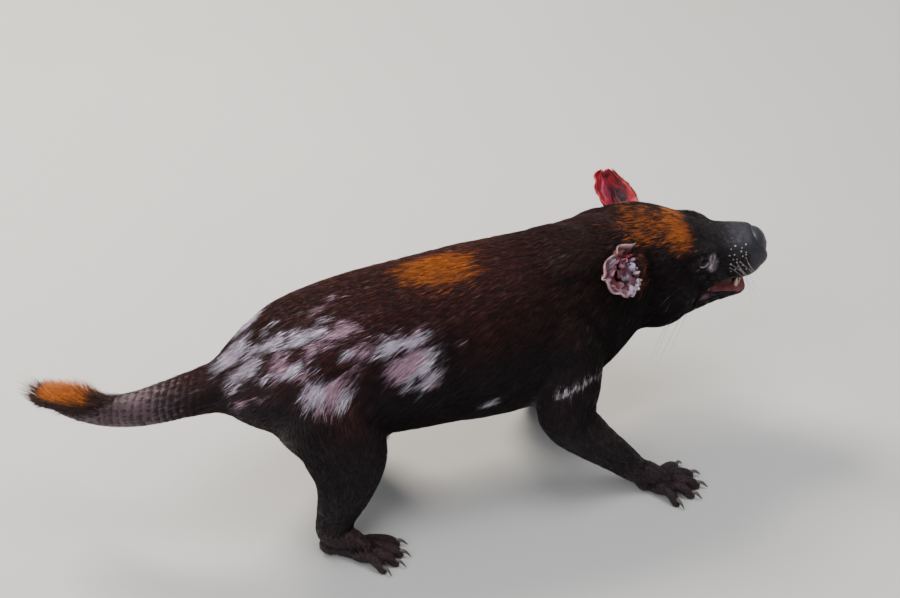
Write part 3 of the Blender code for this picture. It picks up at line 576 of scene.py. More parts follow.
TAIL = (
    Ring((-236, 2, Z), 36, 36, 36),
    Ring((-268, 4, Z - 3), 28, 26, 28),
    Ring((-300, 8, 171), TAIL_BASE_RADIUS, TAIL_BASE_RADIUS, TAIL_BASE_RADIUS),
    Ring((-338, 18, 160), 20, 19, 19.5),
    Ring((-370, 33, 152), 16.5, 16.5, 16.5),
    Ring((-396, 51, 147), 12.5, 12, 12.5),
    Ring((-414, 66, 145), 8.0, 7.5, 8.0),
    Ring((-424, 76, 144), 4, 4, 4),
)
PALATE = ((-66, 0, -37), (-50, 0, -35), (-30, 0, -30), (-17, 0, -25))
MOUTH_FLOOR = ((-70, 0, -46), (-56, 0, -49), (-42, 0, -52), (-31, 0, LOWER_LIP))
TONGUE = (
    Ring((-66, 0, -49), 8, 3, 9),
    Ring((-54, 0, -51), 12, 4, 10),
    Ring((-42, 0, -54), 9, 4, 9),
    Ring((-35, 0, -55), 5, 2.5, 6),
)


class Side(Enum):
    """The animal's two sides, with the sign of +Y on each."""

    RIGHT = -1
    LEFT = 1

    @property
    def word(self) -> str:
        """The side's name in lower case."""
        return self.name.lower()


class Region(Enum):
    """Stretches of the coat that grow as pieces of their own."""

    TRUNK = "trunk"
    NECK = "neck"
    HEAD = "head"
    FORELEG_RIGHT = "foreleg_right"
    FORELEG_LEFT = "foreleg_left"
    HINDLEG_RIGHT = "hindleg_right"
    HINDLEG_LEFT = "hindleg_left"
    TAIL = "tail"


@dataclass(frozen=True)
class Toe:
    """A toe: where it leaves the foot, its heading in degrees, its length and its radius."""

    root: tuple[float, float]
    heading: float
    length: float
    radius: float


FORE_TOES = (
    Toe((-2, 17), 46, 20, 5.4),
    Toe((5, 10), 20, 25, 5.8),
    Toe((8, 1), 1, 27, 6.0),
    Toe((5, -8), -17, 25, 5.8),
    Toe((-3, -16), -42, 20, 5.4),
)
HIND_TOES = (
    Toe((4, 13), 20, 23, 5.8),
    Toe((8, 4.5), 5, 26, 6.2),
    Toe((8, -4.5), -7, 26, 6.2),
    Toe((3, -13), -22, 23, 5.8),
)


@dataclass(frozen=True)
class Limb:
    """A leg and its foot."""

    region: Region
    side: Side
    rings: tuple[Ring, ...]  # sections from the shoulder or hip down
    foot: Triple  # the floor point under the middle of the toes' roots
    heading: float  # the way that the foot points, in degrees from +X
    toes: tuple[Toe, ...]

    @property
    def is_hind(self) -> bool:
        """True for a hind leg, which has four toes."""
        return len(self.toes) == len(HIND_TOES)

    @property
    def foot_name(self) -> str:
        """The node name of its foot."""
        return f"{'hind' if self.is_hind else 'fore'}foot_{self.side.word}"

    def place(self, points: Array) -> Array:
        """Places in the foot's own frame (+X the way it points) turned into the animal's."""
        return np.asarray(points, float) @ rotation("Z", self.heading).T + self.foot

    def toe_place(self, toe: Toe, points: Array) -> Array:
        """Places in a toe's own frame (+X along it) turned into the animal's."""
        own = np.asarray(points, float) @ rotation("Z", toe.heading).T + (*toe.root, 0.0)
        return self.place(own)


LIMBS = (
    Limb(
        Region.FORELEG_RIGHT, Side.RIGHT,
        (
            Ring((88, -46, 182), 40, 42, 44),
            Ring((82, -66, 140), 35, 38, 36),
            Ring((76, -80, 108), 29, 33, 30),
            Ring((104, -86, 74), 23, 24, 24),
            Ring((132, -90, 46), 18, 19, 19),
            Ring((154, -94, 24), 16, 14, 15),
        ),
        (184, -108, 0), -24, FORE_TOES,
    ),
    Limb(
        Region.FORELEG_LEFT, Side.LEFT,
        (
            Ring((90, 46, 182), 40, 42, 44),
            Ring((76, 66, 142), 35, 37, 36),
            Ring((58, 74, 108), 28, 30, 30),
            Ring((72, 74, 72), 22, 23, 23),
            Ring((86, 72, 44), 18, 18, 18),
            Ring((98, 72, 24), 16, 14, 15),
        ),
        (130, 76, 0), 12, FORE_TOES,
    ),
    Limb(
        Region.HINDLEG_RIGHT, Side.RIGHT,
        (
            Ring((-172, -42, 170), 42, 60, 52),
            Ring((-164, -62, 138), 38, 53, 44),
            Ring((-158, -72, 108), 32, 44, 42),
            Ring((-162, -76, 76), 26, 31, 31),
            Ring((-172, -76, 46), 20, 22, 22),
            Ring((-178, -78, 26), 17, 17, 16),
        ),
        (-146, -98, 0), -36, HIND_TOES,
    ),
    Limb(
        Region.HINDLEG_LEFT, Side.LEFT,
        (
            Ring((-168, 42, 170), 42, 60, 52),
            Ring((-152, 62, 138), 38, 52, 44),
            Ring((-136, 70, 108), 32, 42, 40),
            Ring((-134, 72, 76), 26, 30, 30),
            Ring((-140, 72, 46), 20, 21, 21),
            Ring((-145, 73, 26), 17, 17, 16),
        ),
        (-107, 87, 0), 22, HIND_TOES,
    ),
)


# --- The lie of the hair ---
@dataclass(frozen=True)
class Hair:
    """How the hair grows on a stretch of the body."""

    length: float
    depth: float  # how far the skin lies under the coat's surface
    lift: float  # degrees that a tuft stands off the skin at its root
    density: float  # tufts on a square centimetre
    width: float

    def row(self) -> tuple[float, ...]:
        """The five numbers in order."""
        return (self.length, self.depth, self.lift, self.density, self.width)


BODY_HAIR = Hair(17.0, 3.4, 11.0, 66.0, 0.62)
BELLY_HAIR = Hair(16.0, 3.2, 13.0, 46.0, 0.68)
NECK_HAIR = Hair(16.0, 3.4, 11.0, 72.0, 0.58)
SKULL_HAIR = Hair(11.0, 2.2, 10.0, 112.0, 0.46)
FACE_HAIR = Hair(6.0, 1.2, 8.0, 160.0, 0.36)
MUZZLE_HAIR = Hair(3.2, 0.6, 6.0, 190.0, 0.28)
CHIN_HAIR = Hair(4.2, 0.8, 11.0, 120.0, 0.33)
THROAT_HAIR = Hair(10.0, 2.2, 12.0, 88.0, 0.50)
THIGH_HAIR = Hair(14.0, 3.0, 10.0, 60.0, 0.60)
SHANK_HAIR = Hair(8.5, 1.6, 9.0, 80.0, 0.47)
FOOT_HAIR = Hair(4.6, 0.6, 7.0, 130.0, 0.34)
TOE_HAIR = Hair(3.2, 0.35, 7.0, 110.0, 0.28)
TAIL_BASE_HAIR = Hair(12.0, 2.2, 9.0, 66.0, 0.52)
TAIL_HAIR = Hair(7.0, 1.0, 5.0, 38.0, 0.34)
LONG_HAIR_FROM = 5.0  # tufts shorter than this have no bend
UNDER_SHARE = 0.76  # of the longer tufts, how many are plain spikes of the lower layer
CLUMP_REACH = 9.0  # a root further than this from a clump's middle stays by itself


@dataclass(frozen=True)
class Bone:
    """A straight stretch of the body that the hair round it runs along."""

    region: Region
    start: Triple  # where the hair runs from
    end: Triple  # where the hair runs to
    radius: float  # distance from the bone to the skin
    hair: Hair
    in_head: bool = False  # True where the places are in the head's frame

    def ends(self) -> tuple[Array, Array]:
        """Both ends in the animal's frame."""
        ends = np.array((self.start, self.end), float)
        return tuple(HeadFrame.out(ends) if self.in_head else ends)


def leg_bones(limb: Limb) -> list[Bone]:
    """The bones of a leg, its foot and its toes.

    Args:
        limb: The leg.

    Returns:
        Its bones, from the body down.
    """
    hairs = (THIGH_HAIR, THIGH_HAIR, SHANK_HAIR, SHANK_HAIR, FOOT_HAIR)
    bones = []
    for above, below, hair in zip(limb.rings, limb.rings[1:], hairs):
        radius = 0.25 * (above.wide + below.wide + above.up + below.up)
        bones.append(Bone(limb.region, above.centre, below.centre, radius, hair))
    middle = tuple(limb.place((0, 0, 9)))
    bones.append(Bone(limb.region, limb.rings[-1].centre, middle, 12.0, FOOT_HAIR))
    for toe in limb.toes:
        start, end = limb.toe_place(toe, ((-4, 0, 9), (toe.length, 0, 6)))
        bones.append(Bone(limb.region, tuple(start), tuple(end), toe.radius, TOE_HAIR))
    return bones


def tail_bones() -> list[Bone]:
    """The bones of the tail, from its root to its tip."""
    spans = zip(TAIL, TAIL[1:], (TAIL_BASE_HAIR,) * 2 + (TAIL_HAIR,) * (len(TAIL) - 3))
    return [Bone(Region.TAIL, a.centre, b.centre, 0.5 * (a.wide + b.wide), h) for a, b, h in spans]


BONES = [
    Bone(Region.TRUNK, (150, 22, 200), (40, 0, 190), 84, BODY_HAIR),
    Bone(Region.TRUNK, (40, 0, 188), (-120, 0, 180), 88, BODY_HAIR),
    Bone(Region.TRUNK, (-120, 0, 180), (-235, 0, 176), 76, BODY_HAIR),
    Bone(Region.TRUNK, (100, 0, 132), (-60, 0, 128), 44, BELLY_HAIR),
    Bone(Region.NECK, (232, 34, 202), (150, 22, 196), 62, NECK_HAIR),
    Bone(Region.HEAD, (-4, 0, -8), (-50, 0, -9), 27, MUZZLE_HAIR, True),
    Bone(Region.HEAD, (-55, 0, -8), (-105, 0, -8), 44, FACE_HAIR, True),
    Bone(Region.HEAD, (-105, 0, -8), (-200, -12, -8), 66, SKULL_HAIR, True),
    Bone(Region.HEAD, (-20, 0, -60), (-66, 0, -56), 16, CHIN_HAIR, True),
    Bone(Region.HEAD, (-66, 0, -52), (-150, 0, -46), 36, THROAT_HAIR, True),
    *tail_bones(),
    *(bone for limb in LIMBS for bone in leg_bones(limb)),
]


class Lie:
    """The hair's direction and growth all over the body, blended from the bones."""

    SHARPNESS = 6.0
    DROOP = 0.42  # how far the flank's hair turns down

    def __init__(self, bones: list[Bone]) -> None:
        """Keeps the bones' numbers as arrays.

        Args:
            bones: All bones.
        """
        self.bones = bones
        self.regions = list(Region)
        self.hair = np.array([bone.hair.row() for bone in bones])
        self.region_of = np.array([self.regions.index(bone.region) for bone in bones])

    def weights(self, points: Array) -> Array:
        """How much each bone counts at each point.

        Args:
            points: Rows of places.

        Returns:
            A row for each point, which adds up to one.
        """
        closeness = np.empty((len(points), len(self.bones)))
        for k, bone in enumerate(self.bones):
            distance, _ = segment_distance(points, *bone.ends())
            closeness[:, k] = (np.maximum(distance, 1.0) / bone.radius) ** -self.SHARPNESS
        return closeness / closeness.sum(axis=1, keepdims=True)

    def read(self, points: Array, normals: Array) -> tuple[Array, Array, Array]:
        """Reads the lie at points of the skin.

        Args:
            points: Places on the skin.
            normals: Outward directions there.

        Returns:
            Unit directions along the skin, the rows of Hair numbers, and the regions' numbers.
        """
        weights = self.weights(points)
        ends = [bone.ends() for bone in self.bones]
        along = weights @ np.array([unit(end - start) for start, end in ends])
        body = [self.regions.index(region) for region in (Region.TRUNK, Region.NECK)]
        on_body = weights[:, np.isin(self.region_of, body)].sum(axis=1)
        along[:, 2] -= self.DROOP * np.abs(normals[:, 1]) * on_body
        along = unit(along - normals * dot(along, normals)[:, None])
        return along, weights @ self.hair, self.region_of[np.argmax(weights, axis=1)]


def region_axis(region: Region) -> tuple[Array, Array]:
    """The straight line that a region's hair chart is wound round.

    Args:
        region: The region.

    Returns:
        The line's start and end.
    """
    ends = [bone.ends() for bone in BONES if bone.region is region]
    start = ends[0][0]
    return start, max((end for _, end in ends), key=lambda place: np.linalg.norm(place - start))


# --- Finishes ---
class Nodes:
    """A material's node tree, with short ways to add to it."""

    def __init__(self, name: str) -> None:
        """Starts a material with one Principled shader.

        Args:
            name: The material's name.
        """
        self.material = bpy.data.materials.new(name)
        self.material.use_nodes = True
        self.tree = self.material.node_tree
        self.shader = self.tree.nodes["Principled BSDF"]

    def add(self, kind: str, settings: dict | None = None, **inputs: object) -> bpy.types.Node:
        """Adds a node.

        Args:
            kind: Its Blender type.
            settings: Its own properties.
            inputs: Its sockets' values or the sockets that feed them, with _ for spaces.

        Returns:
            The node.
        """
        node = self.tree.nodes.new(kind)
        for key, value in (settings or {}).items():
            setattr(node, key, value)
        for key, value in inputs.items():
            self.feed(node.inputs[key.replace("_", " ")], value)
        return node

    def feed(self, socket: bpy.types.NodeSocket, value: object) -> None:
        """Links a socket to another, or sets its value.

        Args:
            socket: The socket to feed.
            value: The other socket, or the value.
        """
        if isinstance(value, bpy.types.NodeSocket):
            self.tree.links.new(value, socket)
        else:
            socket.default_value = value

    def set(self, **inputs: object) -> None:
        """Sets or links the shader's own sockets, with _ for spaces."""
        for key, value in inputs.items():
            self.feed(self.shader.inputs[key.replace("_", " ")], value)

    def attribute(self, name: str) -> bpy.types.Node:
        """A mesh attribute."""
        return self.add("ShaderNodeAttribute", {"attribute_name": name})

    def place(self) -> bpy.types.NodeSocket:
        """The place on the object, in metres."""
        return self.add("ShaderNodeTexCoord").outputs["Object"]

    def noise(self, scale: float, detail: float = 3.0, roughness: float = 0.6) -> bpy.types.NodeSocket:
        """Fractal noise over the object.

        Args:
            scale: Lumps in a metre.
            detail: Number of finer layers.
            roughness: Strength of the finer layers.

        Returns:
            The noise, from 0 to 1.
        """
        node = self.add("ShaderNodeTexNoise", Vector=self.place(), Scale=scale, Detail=detail,
                        Roughness=roughness)
        return node.outputs["Fac"]

    def cells(self, scale: float, feature: str = "F1") -> bpy.types.NodeSocket:
        """Distance to the cells' points or edges."""
        node = self.add("ShaderNodeTexVoronoi", {"feature": feature}, Vector=self.place(), Scale=scale)
        return node.outputs["Distance"]

    def ramp(self, value: bpy.types.NodeSocket, low: float, high: float,
             to_low: float, to_high: float) -> bpy.types.NodeSocket:
        """A value spread from one range to another.

        Args:
            value: The value.
            low: Start of its range.
            high: End of its range.
            to_low: Start of the new range.
            to_high: End of the new range.

        Returns:
            The value in the new range.
        """
        node = self.add("ShaderNodeMapRange", Value=value, From_Min=low, From_Max=high,
                        To_Min=to_low, To_Max=to_high)
        return node.outputs["Result"]

    def sum(self, a: bpy.types.NodeSocket, b: bpy.types.NodeSocket) -> bpy.types.NodeSocket:
        """Two numbers added up.

        Args:
            a: The first number.
            b: The second number.

        Returns:
            Their sum.
        """
        node = self.add("ShaderNodeMath", {"operation": "ADD"})
        self.feed(node.inputs[0], a)
        self.feed(node.inputs[1], b)
        return node.outputs[0]

    def tinted(self, colour: object, brightness: bpy.types.NodeSocket) -> bpy.types.NodeSocket:
        """A colour whose brightness varies.

        Args:
            colour: Red, green and blue, or the socket that gives them.
            brightness: The factor of the brightness.

        Returns:
            The varied colour.
        """
        node = self.add("ShaderNodeHueSaturation", Value=brightness)
        if isinstance(colour, tuple):
            colour = (*colour, 1.0)
        self.feed(node.inputs["Color"], colour)
        return node.outputs["Color"]

    def bump(self, height: bpy.types.NodeSocket, distance: float, strength: object = 1.0) -> None:
        """Adds a bump to the shader, with its depth in millimetres."""
        node = self.add("ShaderNodeBump", Height=height, Distance=distance * MM, Strength=strength)
        self.set(Normal=node.outputs["Normal"])


@dataclass(frozen=True)
class Finish:
    """A material of its own name; each kind adds its own nodes."""

    name: str

    def dress(self, nodes: Nodes) -> None:
        """Adds nothing here."""

    def make(self) -> bpy.types.Material:
        """Builds the material.

        Returns:
            The material.
        """
        nodes = Nodes(self.name)
        self.dress(nodes)
        return nodes.material


@dataclass(frozen=True)
class FurFinish(Finish):
    """Hair that takes its colours from the mesh."""

    name: str = "fur"
    roughness: float = 0.50
    sheen: float = 0.05  # weight of the soft glow at grazing angles
    sheen_tint: Triple = (0.75, 0.62, 0.80)

    def dress(self, nodes: Nodes) -> None:
        """Adds the nodes.

        Args:
            nodes: The material's nodes.
        """
        glints = nodes.ramp(nodes.noise(900.0, 2.0), 0.3, 0.7, 0.75, 1.3)
        colour = nodes.tinted(nodes.attribute(COAT_LAYER).outputs["Color"], glints)
        nodes.set(Base_Color=colour, Roughness=self.roughness, Sheen_Weight=self.sheen,
                  Sheen_Tint=(*self.sheen_tint, 1.0), Sheen_Roughness=0.35, Specular_IOR_Level=0.18)


@dataclass(frozen=True)
class HideFinish(Finish):
    """Bare or thinly haired skin that takes its colours from the mesh."""

    name: str = "hide"
    wrinkle: float = 0.34  # depth of the wrinkles in millimetres
    cell: float = 420.0  # number of wrinkle cells in a metre
    gloss: float = 0.38  # roughness of the smoothest spots
    flesh: float = 0.0  # weight of the light that passes under the skin

    def dress(self, nodes: Nodes) -> None:
        """Adds the nodes.

        Args:
            nodes: The material's nodes.
        """
        blotches = nodes.ramp(nodes.noise(160.0, 4.0), 0.25, 0.75, 0.7, 1.3)
        coat = nodes.attribute(COAT_LAYER)
        colour = nodes.tinted(coat.outputs["Color"], blotches)
        roughness = nodes.ramp(nodes.noise(300.0, 3.0), 0.3, 0.7, self.gloss, self.gloss + 0.25)
        creases = nodes.ramp(nodes.cells(self.cell, "DISTANCE_TO_EDGE"), 0.0, 0.34, 0.0, 1.0)
        relief = nodes.sum(creases, nodes.noise(1400.0, 3.0))
        nodes.set(Base_Color=colour, Roughness=roughness, Specular_IOR_Level=0.28)
        if self.flesh:
            nodes.set(Subsurface_Weight=self.flesh, Subsurface_Radius=(1.0, 0.25, 0.2),
                      Subsurface_Scale=2.5 * MM)
        nodes.bump(relief, self.wrinkle, coat.outputs["Alpha"])


@dataclass(frozen=True)
class HornFinish(Finish):
    """Claws, teeth and other hard, smooth growth."""

    colour: Triple
    roughness: float
    ridges: float = 0.08  # depth of the fine growth lines in millimetres
    spread: float = 0.35  # how far the brightness varies

    def dress(self, nodes: Nodes) -> None:
        """Adds the nodes.

        Args:
            nodes: The material's nodes.
        """
        streaks = nodes.ramp(nodes.noise(350.0, 4.0), 0.3, 0.7, 1.0 - self.spread, 1.0 + self.spread)
        nodes.set(Base_Color=nodes.tinted(self.colour, streaks), Roughness=self.roughness,
                  Coat_Weight=0.25, Coat_Roughness=0.15)
        nodes.bump(nodes.noise(1600.0, 2.0), self.ridges)


@dataclass(frozen=True)
class WetFinish(Finish):
    """Moist, pebbled skin, such as the nose pad and the tongue."""

    colour: Triple
    pebble: float  # number of pebbles in a metre
    relief: float  # depth of the pebbling in millimetres
    roughness: float  # roughness under the wet layer
    wet: float  # weight of the wet layer

    def dress(self, nodes: Nodes) -> None:
        """Adds the nodes.

        Args:
            nodes: The material's nodes.
        """
        pebbles = nodes.cells(self.pebble)
        shade = nodes.ramp(pebbles, 0.0, 0.8, 1.25, 0.65)
        nodes.set(Base_Color=nodes.tinted(self.colour, shade), Roughness=self.roughness,
                  Coat_Weight=self.wet, Coat_Roughness=0.12, Specular_IOR_Level=0.6)
        nodes.bump(nodes.ramp(pebbles, 0.0, 0.7, 1.0, 0.0), self.relief)


@dataclass(frozen=True)
class EyeFinish(Finish):
    """A dark, clear, wet eye."""

    name: str = "eye"
    iris: Triple = (0.0060, 0.0038, 0.0032)

    def dress(self, nodes: Nodes) -> None:
        """Adds the nodes.

        Args:
            nodes: The material's nodes.
        """
        rays = nodes.ramp(nodes.noise(500.0, 5.0), 0.3, 0.7, 0.5, 1.6)
        nodes.set(Base_Color=nodes.tinted(self.iris, rays), Roughness=0.10, Coat_Weight=0.10,
                  Coat_Roughness=0.03, Specular_IOR_Level=0.11)


@dataclass(frozen=True)
class FloorFinish(Finish):
    """A plain, pale, matt floor."""

    name: str = "floor"
    colour: Triple = (0.62, 0.60, 0.57)

    def dress(self, nodes: Nodes) -> None:
        """Adds the nodes.

        Args:
            nodes: The material's nodes.
        """
        cast = nodes.ramp(nodes.noise(2.0, 2.0), 0.3, 0.7, 0.98, 1.02)
        nodes.set(Base_Color=nodes.tinted(self.colour, cast), Roughness=0.85)


# --- Pieces ---
def paint(mesh: bpy.types.Mesh, colours: Array) -> None:
    """Stores one colour for each vertex.

    Args:
        mesh: The mesh.
        colours: Rows of red, green and blue, with the depth of the wrinkles as a fourth number if it varies.
    """
    rgba = np.ones((len(mesh.vertices), 4), np.float32)
    rgba[:, : colours.shape[1]] = colours
    layer = mesh.color_attributes.new(COAT_LAYER, "FLOAT_COLOR", "POINT")
    layer.data.foreach_set("color", rgba.ravel())


def finished(name: str, surface: Surface, material: bpy.types.Material,
             colours: Array | None = None, replaces: tuple[str, ...] = ()) -> bpy.types.Object:
    """Makes a piece of the model from a surface in the animal's frame.

    Args:
        name: The piece's name.
        surface: Its shape, in millimetres.
        material: Its material.
        colours: A colour for each vertex, if the material reads them.
        replaces: The nodes that it stands for.

    Returns:
        The piece, riding on the one body.
    """
    placed = Surface((surface.points + OWN_TO_FRAME) * MM, surface.faces)
    mesh = placed.to_mesh(name)
    if colours is not None:
        paint(mesh, colours)
    mesh.materials.append(material)
    piece = linked(name, mesh)
    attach(piece, "root")
    if replaces:
        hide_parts(*replaces)
    LOG.info("%s: %d faces", name, len(mesh.polygons))
    return piece


def gathered(surfaces: list[Surface]) -> Surface:
    """Several surfaces as one.

    Args:
        surfaces: The surfaces, with faces of one kind.

    Returns:
        The joined surface.
    """
    points, faces, count = [], [], 0
    for surface in surfaces:
        points.append(surface.points)
        faces.append(surface.faces + count)
        count += len(surface.points)
    return Surface(np.vstack(points), np.vstack(faces))


def swept(path: Array, radii: Array, sides: int = 8, flat: float = 1.0,
          crown: Triple = (0, 0, 1)) -> Surface:
    """A closed tube of triangles along a path, which ends in a point.

    Args:
        path: Places along it.
        radii: A radius for each place but the last, which is the point.
        sides: Points round it.
        flat: Its thickness as a share of its width.
        crown: The direction that its thin side faces.

    Returns:
        The tube.
    """
    across, over = (rows[:-1] for rows in ring_axes(path, crown))
    angle = round_turns(sides)
    ring = (across[:, None] * np.cos(angle)[None, :, None]
            + over[:, None] * flat * np.sin(angle)[None, :, None])
    rings = path[:-1, None] + ring * np.asarray(radii)[:, None, None]
    points = np.vstack([rings.reshape(-1, 3), path[-1:], path[:1]])
    k = np.arange(sides)
    after = (k + 1) % sides
    tip, foot = len(points) - 2, len(points) - 1
    faces = [np.stack([np.full(sides, foot), after, k], axis=1)]
    last = (len(path) - 2) * sides
    for one in range(0, last, sides):
        two = one + sides
        faces.append(np.stack([one + k, one + after, two + after], axis=1))
        faces.append(np.stack([one + k, two + after, two + k], axis=1))
    faces.append(np.stack([last + k, last + after, np.full(sides, tip)], axis=1))
    return Surface(points, np.vstack(faces))


# --- Zones of the body ---
@dataclass(frozen=True)
class Fade:
    """A soft step along a line: 0 before its start and 1 after its end."""

    start: float
    end: float

    def __call__(self, x: Array) -> Array:
        """The share at each place on the line."""
        return smoothstep(self.start, self.end, x)


# Along the body, in the animal's frame
BEHIND_CHEST = Fade(130, 10)
RUMP = Fade(-190, -250)
# The front edge of the painted sunlight on the back
SUNLIT_BACK_BEHIND = Fade(36, 20)
TAIL_HAIR_ZONE = Fade(-285, -330)
BARE_TAIL = Fade(-275, -310)
RINGED_TAIL = Fade(-262, -300)
BODY_BEHIND = Fade(215, 170)
# Up from the floor
BARE_FOOT = Fade(46, 30)
FINE_FOOT = Fade(44, 30)
BODY_ABOVE = Fade(60, 110)
# Along the head, in its own frame
NAPE_BEHIND, NAPE_BEFORE = Fade(-150, -180), Fade(-260, -200)
# Edges and brightest part of the painted sunlight on the crown
CROWN_BEHIND, CROWN_BEFORE = Fade(-71, -82), Fade(-205, -165)
CROWN_BRIGHT = Fade(-165, -95)
HAIRY_MUZZLE, BARE_MUZZLE = Fade(-86, -60), Fade(-84, -58)
FINE_FACE = Fade(-100, -80)
LIP_BEFORE, LIP_BEHIND = Fade(-86, -74), Fade(-14, -24)
SNOUT_BEFORE, SNOUT_BEHIND = Fade(-84, -66), Fade(-14, -26)
# From here forward the top of the snout carries a painted sky reflection
SNOUT_FRONT = Fade(-56, -24)
NOSE_RIM = Fade(-30, -16)
BESIDE_NOSE = Fade(-13.0, -19.0)


# --- Markings ---
class Tone(Enum):
    """The coat's colours, as linear red, green and blue at the hair's tip."""

    DARK = (0.0098, 0.0054, 0.0060)
    # Reddish-brown hair tips; where the fur faces up they also hold a painted sheen of light from above
    RUSSET = (0.120, 0.031, 0.021)
    # Painted sunlight on the back, the crown and the ear's fringe, and the colour of the tail brush's hair
    ORANGE = (0.590, 0.160, 0.020)
    WHITE = (0.80, 0.72, 0.86)
    PINK = (0.59, 0.37, 0.47)
    MUZZLE = (0.0125, 0.0095, 0.0110)
    BARE = (0.46, 0.35, 0.41)
    TAIL = (0.080, 0.046, 0.055)
    FOOT = (0.030, 0.015, 0.017)
    MOUTH = (0.30, 0.085, 0.090)
    LIP = (0.22, 0.115, 0.14)
    # Painted sky reflection: grey-blue on the top of the snout's front, on its short hair and on its bare
    # skin
    SNOUT_TOP = (0.042, 0.040, 0.049)
    BARE_SNOUT = (0.040, 0.039, 0.049)
    NOSE_EDGE = (0.024, 0.024, 0.031)
    TAIL_HAIR = (0.048, 0.028, 0.031)
    BRUSH = (0.036, 0.017, 0.015)
    BRUSH_ROOT = (0.016, 0.009, 0.009)
    UPPER_LID = (0.008, 0.006, 0.006)
    LOWER_LID = (0.32, 0.225, 0.235)

    @property
    def rgb(self) -> Array:
        """The colour as an array."""
        return np.array(self.value)


@dataclass(frozen=True)
class Patch:
    """A patch of pale hair."""

    centre: Triple
    radius: float  # its half-width across the lie of the hair
    stretch: float = 1.4  # its length over its width
    tone: Tone = Tone.WHITE
    strength: float = 1.0  # 1 for a full patch, less for a faint one


PATCHES = (
    Patch((-234, 13, 223), 9, 1.2),
    Patch((-244, 3, 218), 12, 1.3),
    Patch((-243, -24, 214), 8, 1.9),
    Patch((-253, -32, 201), 4, 2.2),
    Patch((-206, 4, 243), 4.5, 2.2),
    Patch((-228, -13, 227), 7, 1.8),
    Patch((-218, -18, 233), 7, 1.9),
    Patch((-202, -23, 242), 7, 1.7),
    Patch((-229, -27, 222), 8, 1.3),
    Patch((-205, -46, 230), 10, 1.4, Tone.PINK),
    Patch((-200, -55, 225), 9, 1.3),
    Patch((-191, -61, 224), 6, 1.4, Tone.PINK),
    Patch((-218, -48, 219), 5, 1.3),
    Patch((-185, -34, 246), 8, 1.5),
    Patch((-162, -37, 252), 6, 2.4),
    Patch((-142, -44, 251), 10, 1.4, Tone.PINK),
    Patch((-154, -26, 258), 4, 1.8),
    Patch((-140, -4, 265), 4, 1.6, Tone.PINK, 0.8),
    Patch((-155, -12, 261), 3.5, 2.4, Tone.PINK, 0.7),
    Patch((-172, -51, 240), 7, 1.6, Tone.PINK),
    Patch((-161, -50, 244), 7, 1.4, Tone.PINK),
    Patch((-181, -62, 227), 4, 1.5),
    Patch((-177, -73, 213), 12, 1.3),
    Patch((-187, -73, 209), 8, 1.4),
    Patch((-165, -76, 210), 11, 1.4, Tone.PINK),
    Patch((-157, -79, 203), 8, 1.3),
    Patch((-182, -80, 198), 5, 1.6, Tone.PINK, 0.8),
    Patch((-159, -72, 219), 4, 1.6, Tone.PINK),
    Patch((-233, -56, 198), 4, 1.7, Tone.PINK, 0.8),
    Patch((-249, -46, 189), 5, 1.5, Tone.PINK, 0.7),
    Patch((-144, -61, 236), 4, 2.4),
    Patch((-139, -70, 225), 4, 2.0, Tone.PINK, 0.8),
    Patch((-123, -61, 239), 6, 2.2, Tone.PINK),
    Patch((-98, -64, 238), 9, 1.4),
    Patch((-79, -66, 237), 6, 2.6),
    Patch((-67, -58, 246), 4, 1.6, Tone.PINK, 0.8),
    Patch((-81, -76, 220), 12, 1.5, Tone.PINK),
    Patch((-97, -73, 224), 6, 1.5, Tone.PINK),
    Patch((-91, -77, 217), 7, 1.5, Tone.PINK),
    Patch((-63, -73, 227), 5, 2.2),
    Patch((-71, -79, 211), 9, 1.6),
    Patch((-66, -83, 199), 6, 1.8),
    Patch((-82, -81, 205), 6, 1.6),
    Patch((-60, -84, 192), 4, 1.7, Tone.PINK, 0.8),
    Patch((-26, -73, 228), 3, 1.6, Tone.PINK, 0.6),
    Patch((1, -80, 146), 5, 1.4),
    Patch((-214, 42, 226), 9, 1.6),
    Patch((-190, 60, 220), 10, 1.4, Tone.PINK),
    Patch((-168, 74, 208), 8, 1.5),
    Patch((-148, 62, 236), 6, 2.0, Tone.PINK),
    Patch((-96, 78, 216), 8, 1.7),
    Patch((-82, 82, 200), 6, 1.6, Tone.PINK),
)
DARK_SPOTS = (
    Patch((-164, -62, 231), 13, 1.2),
    Patch((-203, -63, 216), 8, 1.5),
    Patch((-216, -29, 231), 5, 1.5),
    Patch((-191, -44, 238), 6, 1.5),
    Patch((-90, -70, 231), 5, 1.5),
)
CHEST_BAND = ((60, -92, 147), (77, -96, 155), (94, -94, 161), (112, -84, 158), (128, -58, 146),
              (138, -12, 136), (132, 38, 146), (112, 78, 158), (92, 90, 160))


@dataclass(frozen=True)
class Cloud:
    """A soft region of colour, with its middle and its reach along X, Y and Z."""

    middle: Triple
    reach: Triple

    def distance(self, points: Array) -> Array:
        """Distance from the middle, as a share of the reach."""
        return np.linalg.norm((points - np.array(self.middle)) / self.reach, axis=1)


# Painted sunlight: the pool of light on the middle of the back
SUNLIT_BACK = Cloud((-26, -4, 272), (62, 40, 34))
THIGH_FLAME = Cloud((-154, -84, 184), (30, 26, 24))


@dataclass
class Spots:
    """Places on the skin, the outward directions there and the hair's directions there."""

    points: Array
    normals: Array
    lie: Array

    @property
    def head(self) -> Array:
        """The places in the head's frame."""
        return HeadFrame.into(self.points)


